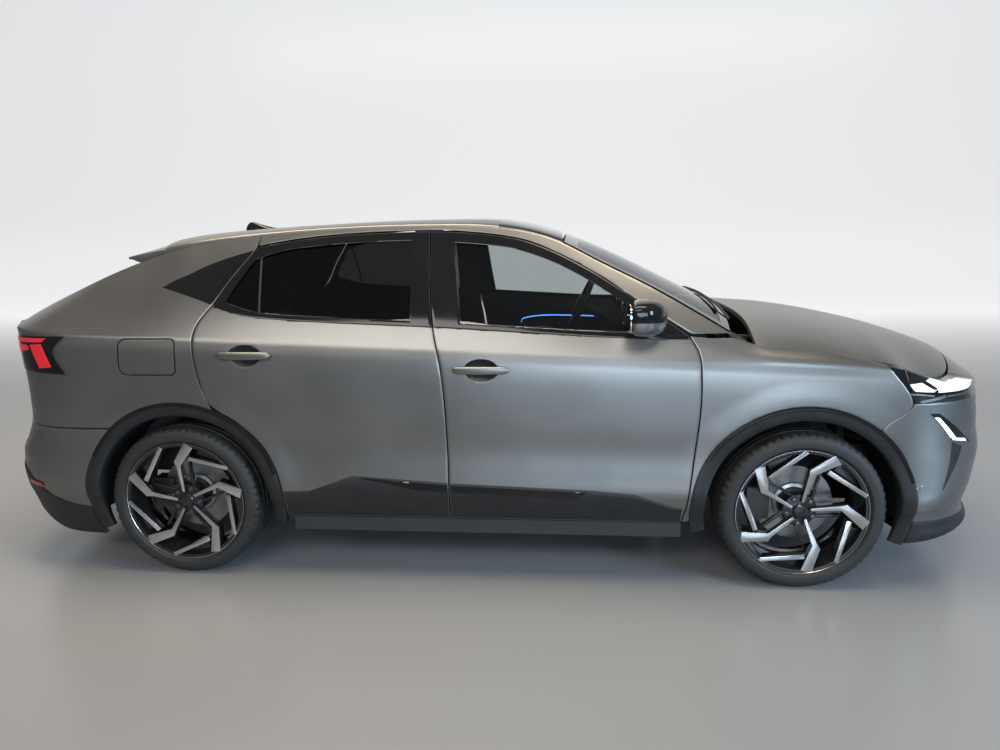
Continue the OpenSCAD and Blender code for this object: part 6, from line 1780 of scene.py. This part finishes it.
ground = sweep_sheet()
only(ground)
bpy.ops.object.shade_smooth()
ground_mat = shader("studio_sweep", {"Base Color": (0.215, 0.222, 0.236, 1), "Roughness": 0.27,
    "Specular IOR Level": 0.45, "Emission Color": (1, 1, 1, 1)})
tree = ground_mat.node_tree
lit_back = tree.nodes.new("ShaderNodeMapRange")
lit_back.interpolation_type = "SMOOTHSTEP"
set_values(lit_back, {"From Min": 2.0, "From Max": 13.0, "To Max": 0.67})
apart, spot = tree.nodes.new("ShaderNodeSeparateXYZ"), tree.nodes.new("ShaderNodeTexCoord")
tree.links.new(spot.outputs["Object"], apart.inputs[0])
tree.links.new(apart.outputs["Y"], lit_back.inputs["Value"])
tree.links.new(lit_back.outputs["Result"], tree.nodes["Principled BSDF"].inputs["Emission Strength"])
ground.data.materials.append(ground_mat)

world = bpy.data.worlds.new("studio")
scene.world = world
world.use_nodes = True
set_values(world.node_tree.nodes["Background"], {"Color": (0.93, 0.96, 1.0, 1), "Strength": 0.16})


def lamp(name, loc, target, size, size_y, power, color=(1, 1, 1)):
    d = bpy.data.lights.new(name, "AREA")
    d.shape, d.size, d.size_y, d.energy, d.color = "RECTANGLE", size, size_y, power, color
    ob = bpy.data.objects.new(name, d)
    scene.collection.objects.link(ob)
    ob.location = loc
    ob.rotation_euler = (Vector(target) - Vector(loc)).to_track_quat("-Z", "Y").to_euler()


lamp("top_light", (-0.9, -0.7, 5.4), (-0.6, -0.1, 0), 6.5, 1.3, 440, (1, 0.85, 0.64))
lamp("side_light", (-2.2, -9.5, 6.6), (-0.4, 0, 0.7), 8.0, 2.2, 470, (1, 0.95, 0.87))
lamp("low_light", (2.0, -9.0, 1.7), (0.8, 0, 0.7), 5.0, 1.4, 250, (0.66, 0.83, 1))
lamp("front_light", (7.5, -4.6, 2.8), (1.5, -0.5, 0.6), 3.0, 2.4, 620, (0.55, 0.78, 1))
lamp("backdrop_light", (0, 6.0, 7.5), (0, 13.0, 3.0), 22.0, 3.0, 420, (1, 1, 1))

EYE, FOCAL = Vector((0.392, -3.891, 1.562)), 718.9
YAW, PITCH, ROLL = (math.radians(a) for a in (-5.05, -11.65, -0.87))
fwd = Vector((math.sin(YAW) * math.cos(PITCH), math.cos(YAW) * math.cos(PITCH), math.sin(PITCH)))
right = Vector((math.cos(YAW), -math.sin(YAW), 0))
up = right.cross(fwd)
r2, u2 = math.cos(ROLL) * right + math.sin(ROLL) * up, -math.sin(ROLL) * right + math.cos(ROLL) * up
cam = bpy.data.cameras.new("photo_camera")
cam.sensor_fit, cam.sensor_width, cam.lens = "HORIZONTAL", 36.0, 36.0 * FOCAL / 1000.0
cam.clip_start, cam.clip_end = 0.05, 200
camera = bpy.data.objects.new("photo_camera", cam)
scene.collection.objects.link(camera)
m = Matrix((r2, u2, -fwd)).transposed().to_4x4()
m.translation = EYE
camera.matrix_world = m
scene.camera = camera
scene.view_settings.view_transform = "Standard"
